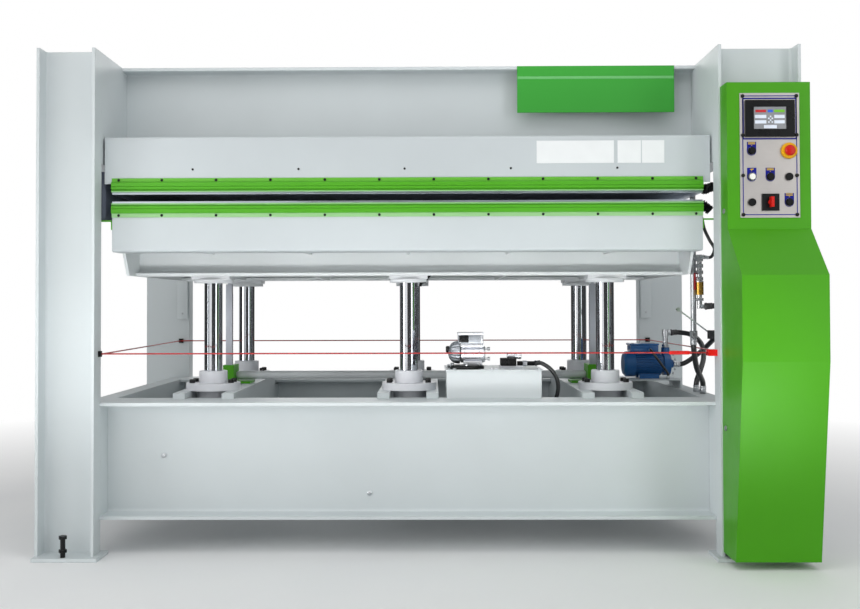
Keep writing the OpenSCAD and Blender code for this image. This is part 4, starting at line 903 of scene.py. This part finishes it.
def web_plugs():
    """Bolt heads low on the web of the front base beam."""
    low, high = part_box("front_base_beam")
    web_y = (low.y + high.y) / 2 - 0.0085
    bm = bmesh.new()
    for x, z in ((-1.030, 0.396), (-0.161, 0.237)):
        add_lathe(bm, (x, web_y, z), -Y_AXIS, [(0.010, 0), (0.010, 0.002), (0.006, 0.0045), (0, 0.005)], 18)
    piece("web_plugs", bm, ZINC, "frame")


def cabinet_fasteners():
    """Domed fasteners on the cabinet's left side."""
    bm = bmesh.new()
    for z in (1.401, 0.535):
        add_lathe(bm, (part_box("control_cabinet")[0].x, -0.898, z), -X_AXIS,
                  [(0.011, 0), (0.011, 0.003), (0.008, 0.006), (0.004, 0.0065), (0, 0.0065)], 18)
    piece("cabinet_fasteners", bm, VALVE_STEEL, "frame")


pale_plates()
inspection_covers()
web_plugs()
cabinet_fasteners()


# Stage and light

FLOOR_SIZE, FLOOR_DROP = 9, 0.0008
FLOOR_TONES = ((0.86, 0.87, 0.88, 1), (0.89, 0.90, 0.90, 1))
FLOOR_FADE = (2.2, 5.5)
WORLD_LIGHT, HALL_DARK = 0.42, 0.06
HALL_TOP = (0.08, 0.45)

# Place, aim, size, watts, colour and spread in degrees
LIGHTS = {
    "key": ((-3.3, -5.6, 2.5), (0, 0, 1.2), (3.6, 4.4), 54, (1.0, 0.99, 0.97), 180),
    "fill": ((4.1, -5.2, 2.0), (0.2, 0, 1.2), (1.6, 3.6), 52, (0.97, 0.99, 1.0), 180),
    "left": ((-4.6, -3.0, 1.4), (1.3, -0.8, 1.0), (1.6, 2.4), 13, (1, 1, 1), 70),
    "low": ((0, -2.0, 0.25), (0, -0.45, 1.25), (3.4, 0.35), 5, (1, 1, 1), 60),
    "top": ((0.4, -2.9, 4.5), (0.2, -0.3, 1.7), (5.0, 2.2), 54, (1, 1, 1), 180),
    "back": ((0, 5.6, 3.0), (0, 0, 1.0), (5.0, 2.5), 80, (1, 1, 1), 180),
}


def make_stage():
    """A pale floor that turns into the white backdrop away from the press and keeps its shadow."""
    s = Shader("floor")
    s.bsdf.inputs["Roughness"].default_value = 0.7
    s.link(s.mix(s.spread(s.noise(1.2, 3), 0, 1), *FLOOR_TONES), s.bsdf.inputs["Base Color"])
    distance = s.node("ShaderNodeVectorMath", operation="LENGTH")
    s.link(s.place, distance.inputs[0])
    fade = s.spread(distance.outputs["Value"], 0, 1, FLOOR_FADE)
    path = s.node("ShaderNodeLightPath").outputs
    seen = s.combine("MAXIMUM", path["Is Camera Ray"], path["Is Glossy Ray"])
    seen = s.combine("MAXIMUM", seen, path["Is Transmission Ray"])
    blend = s.node("ShaderNodeMixShader")
    s.link(s.combine("MULTIPLY", fade, seen), blend.inputs[0])
    s.link(s.bsdf.outputs[0], blend.inputs[1])
    s.link(s.node("ShaderNodeEmission").outputs[0], blend.inputs[2])
    s.link(blend.outputs[0], s.output.inputs["Surface"])
    bm = bmesh.new()
    bmesh.ops.create_grid(bm, x_segments=1, y_segments=1, size=FLOOR_SIZE)
    mesh = bpy.data.meshes.new("floor")
    bm.to_mesh(mesh)
    bm.free()
    mesh.materials.append(s.material)
    floor = bpy.data.objects.new("floor", mesh)
    floor.location.z = -FLOOR_DROP
    scene.collection.objects.link(floor)


def make_world():
    """White to the camera. Reflections see that too, over a dark band round the horizon."""
    world = bpy.data.worlds.new("world")
    world.use_nodes = True
    scene.world = world
    tree = world.node_tree

    def node(kind, **values):
        made = tree.nodes.new(kind)
        for key, value in values.items():
            setattr(made, key, value)
        return made

    def lerp(factor, low, high):
        mixed = node("ShaderNodeMix")
        tree.links.new(factor, mixed.inputs[0])
        for socket, value in ((mixed.inputs[2], low), (mixed.inputs[3], high)):
            if isinstance(value, float):
                socket.default_value = value
            else:
                tree.links.new(value, socket)
        return mixed.outputs[0]

    path = node("ShaderNodeLightPath").outputs
    seen = node("ShaderNodeMath", operation="MAXIMUM")
    tree.links.new(path["Is Camera Ray"], seen.inputs[0])
    tree.links.new(path["Is Transmission Ray"], seen.inputs[1])
    split = node("ShaderNodeSeparateXYZ")
    tree.links.new(node("ShaderNodeTexCoord").outputs["Generated"], split.inputs[0])
    band = node("ShaderNodeMapRange", interpolation_type="SMOOTHSTEP")
    tree.links.new(split.outputs["Z"], band.inputs["Value"])
    for socket, value in zip(("From Min", "From Max", "To Min", "To Max"), (*HALL_TOP, HALL_DARK, 1.0)):
        band.inputs[socket].default_value = value
    soft = lerp(path["Is Glossy Ray"], WORLD_LIGHT, band.outputs[0])
    strength = lerp(seen.outputs[0], soft, 1.0)
    back = tree.nodes["Background"]
    back.inputs["Color"].default_value = (1, 1, 1, 1)
    tree.links.new(strength, back.inputs["Strength"])


def make_light(name, place, aim, size, power, colour, spread):
    """A rectangular light that the camera doesn't see."""
    light = bpy.data.lights.new(name, "AREA")
    light.spread = math.radians(spread)
    light.shape = "RECTANGLE"
    light.size, light.size_y = size
    light.energy = power
    light.color = colour
    obj = bpy.data.objects.new(name, light)
    obj.location = place
    obj.rotation_euler = (Vector(aim) - Vector(place)).to_track_quat("-Z", "Y").to_euler()
    obj.visible_camera = False
    scene.collection.objects.link(obj)


make_stage()
make_world()
for light_name, values in LIGHTS.items():
    make_light(light_name, *values)

scene.view_settings.view_transform = "Standard"
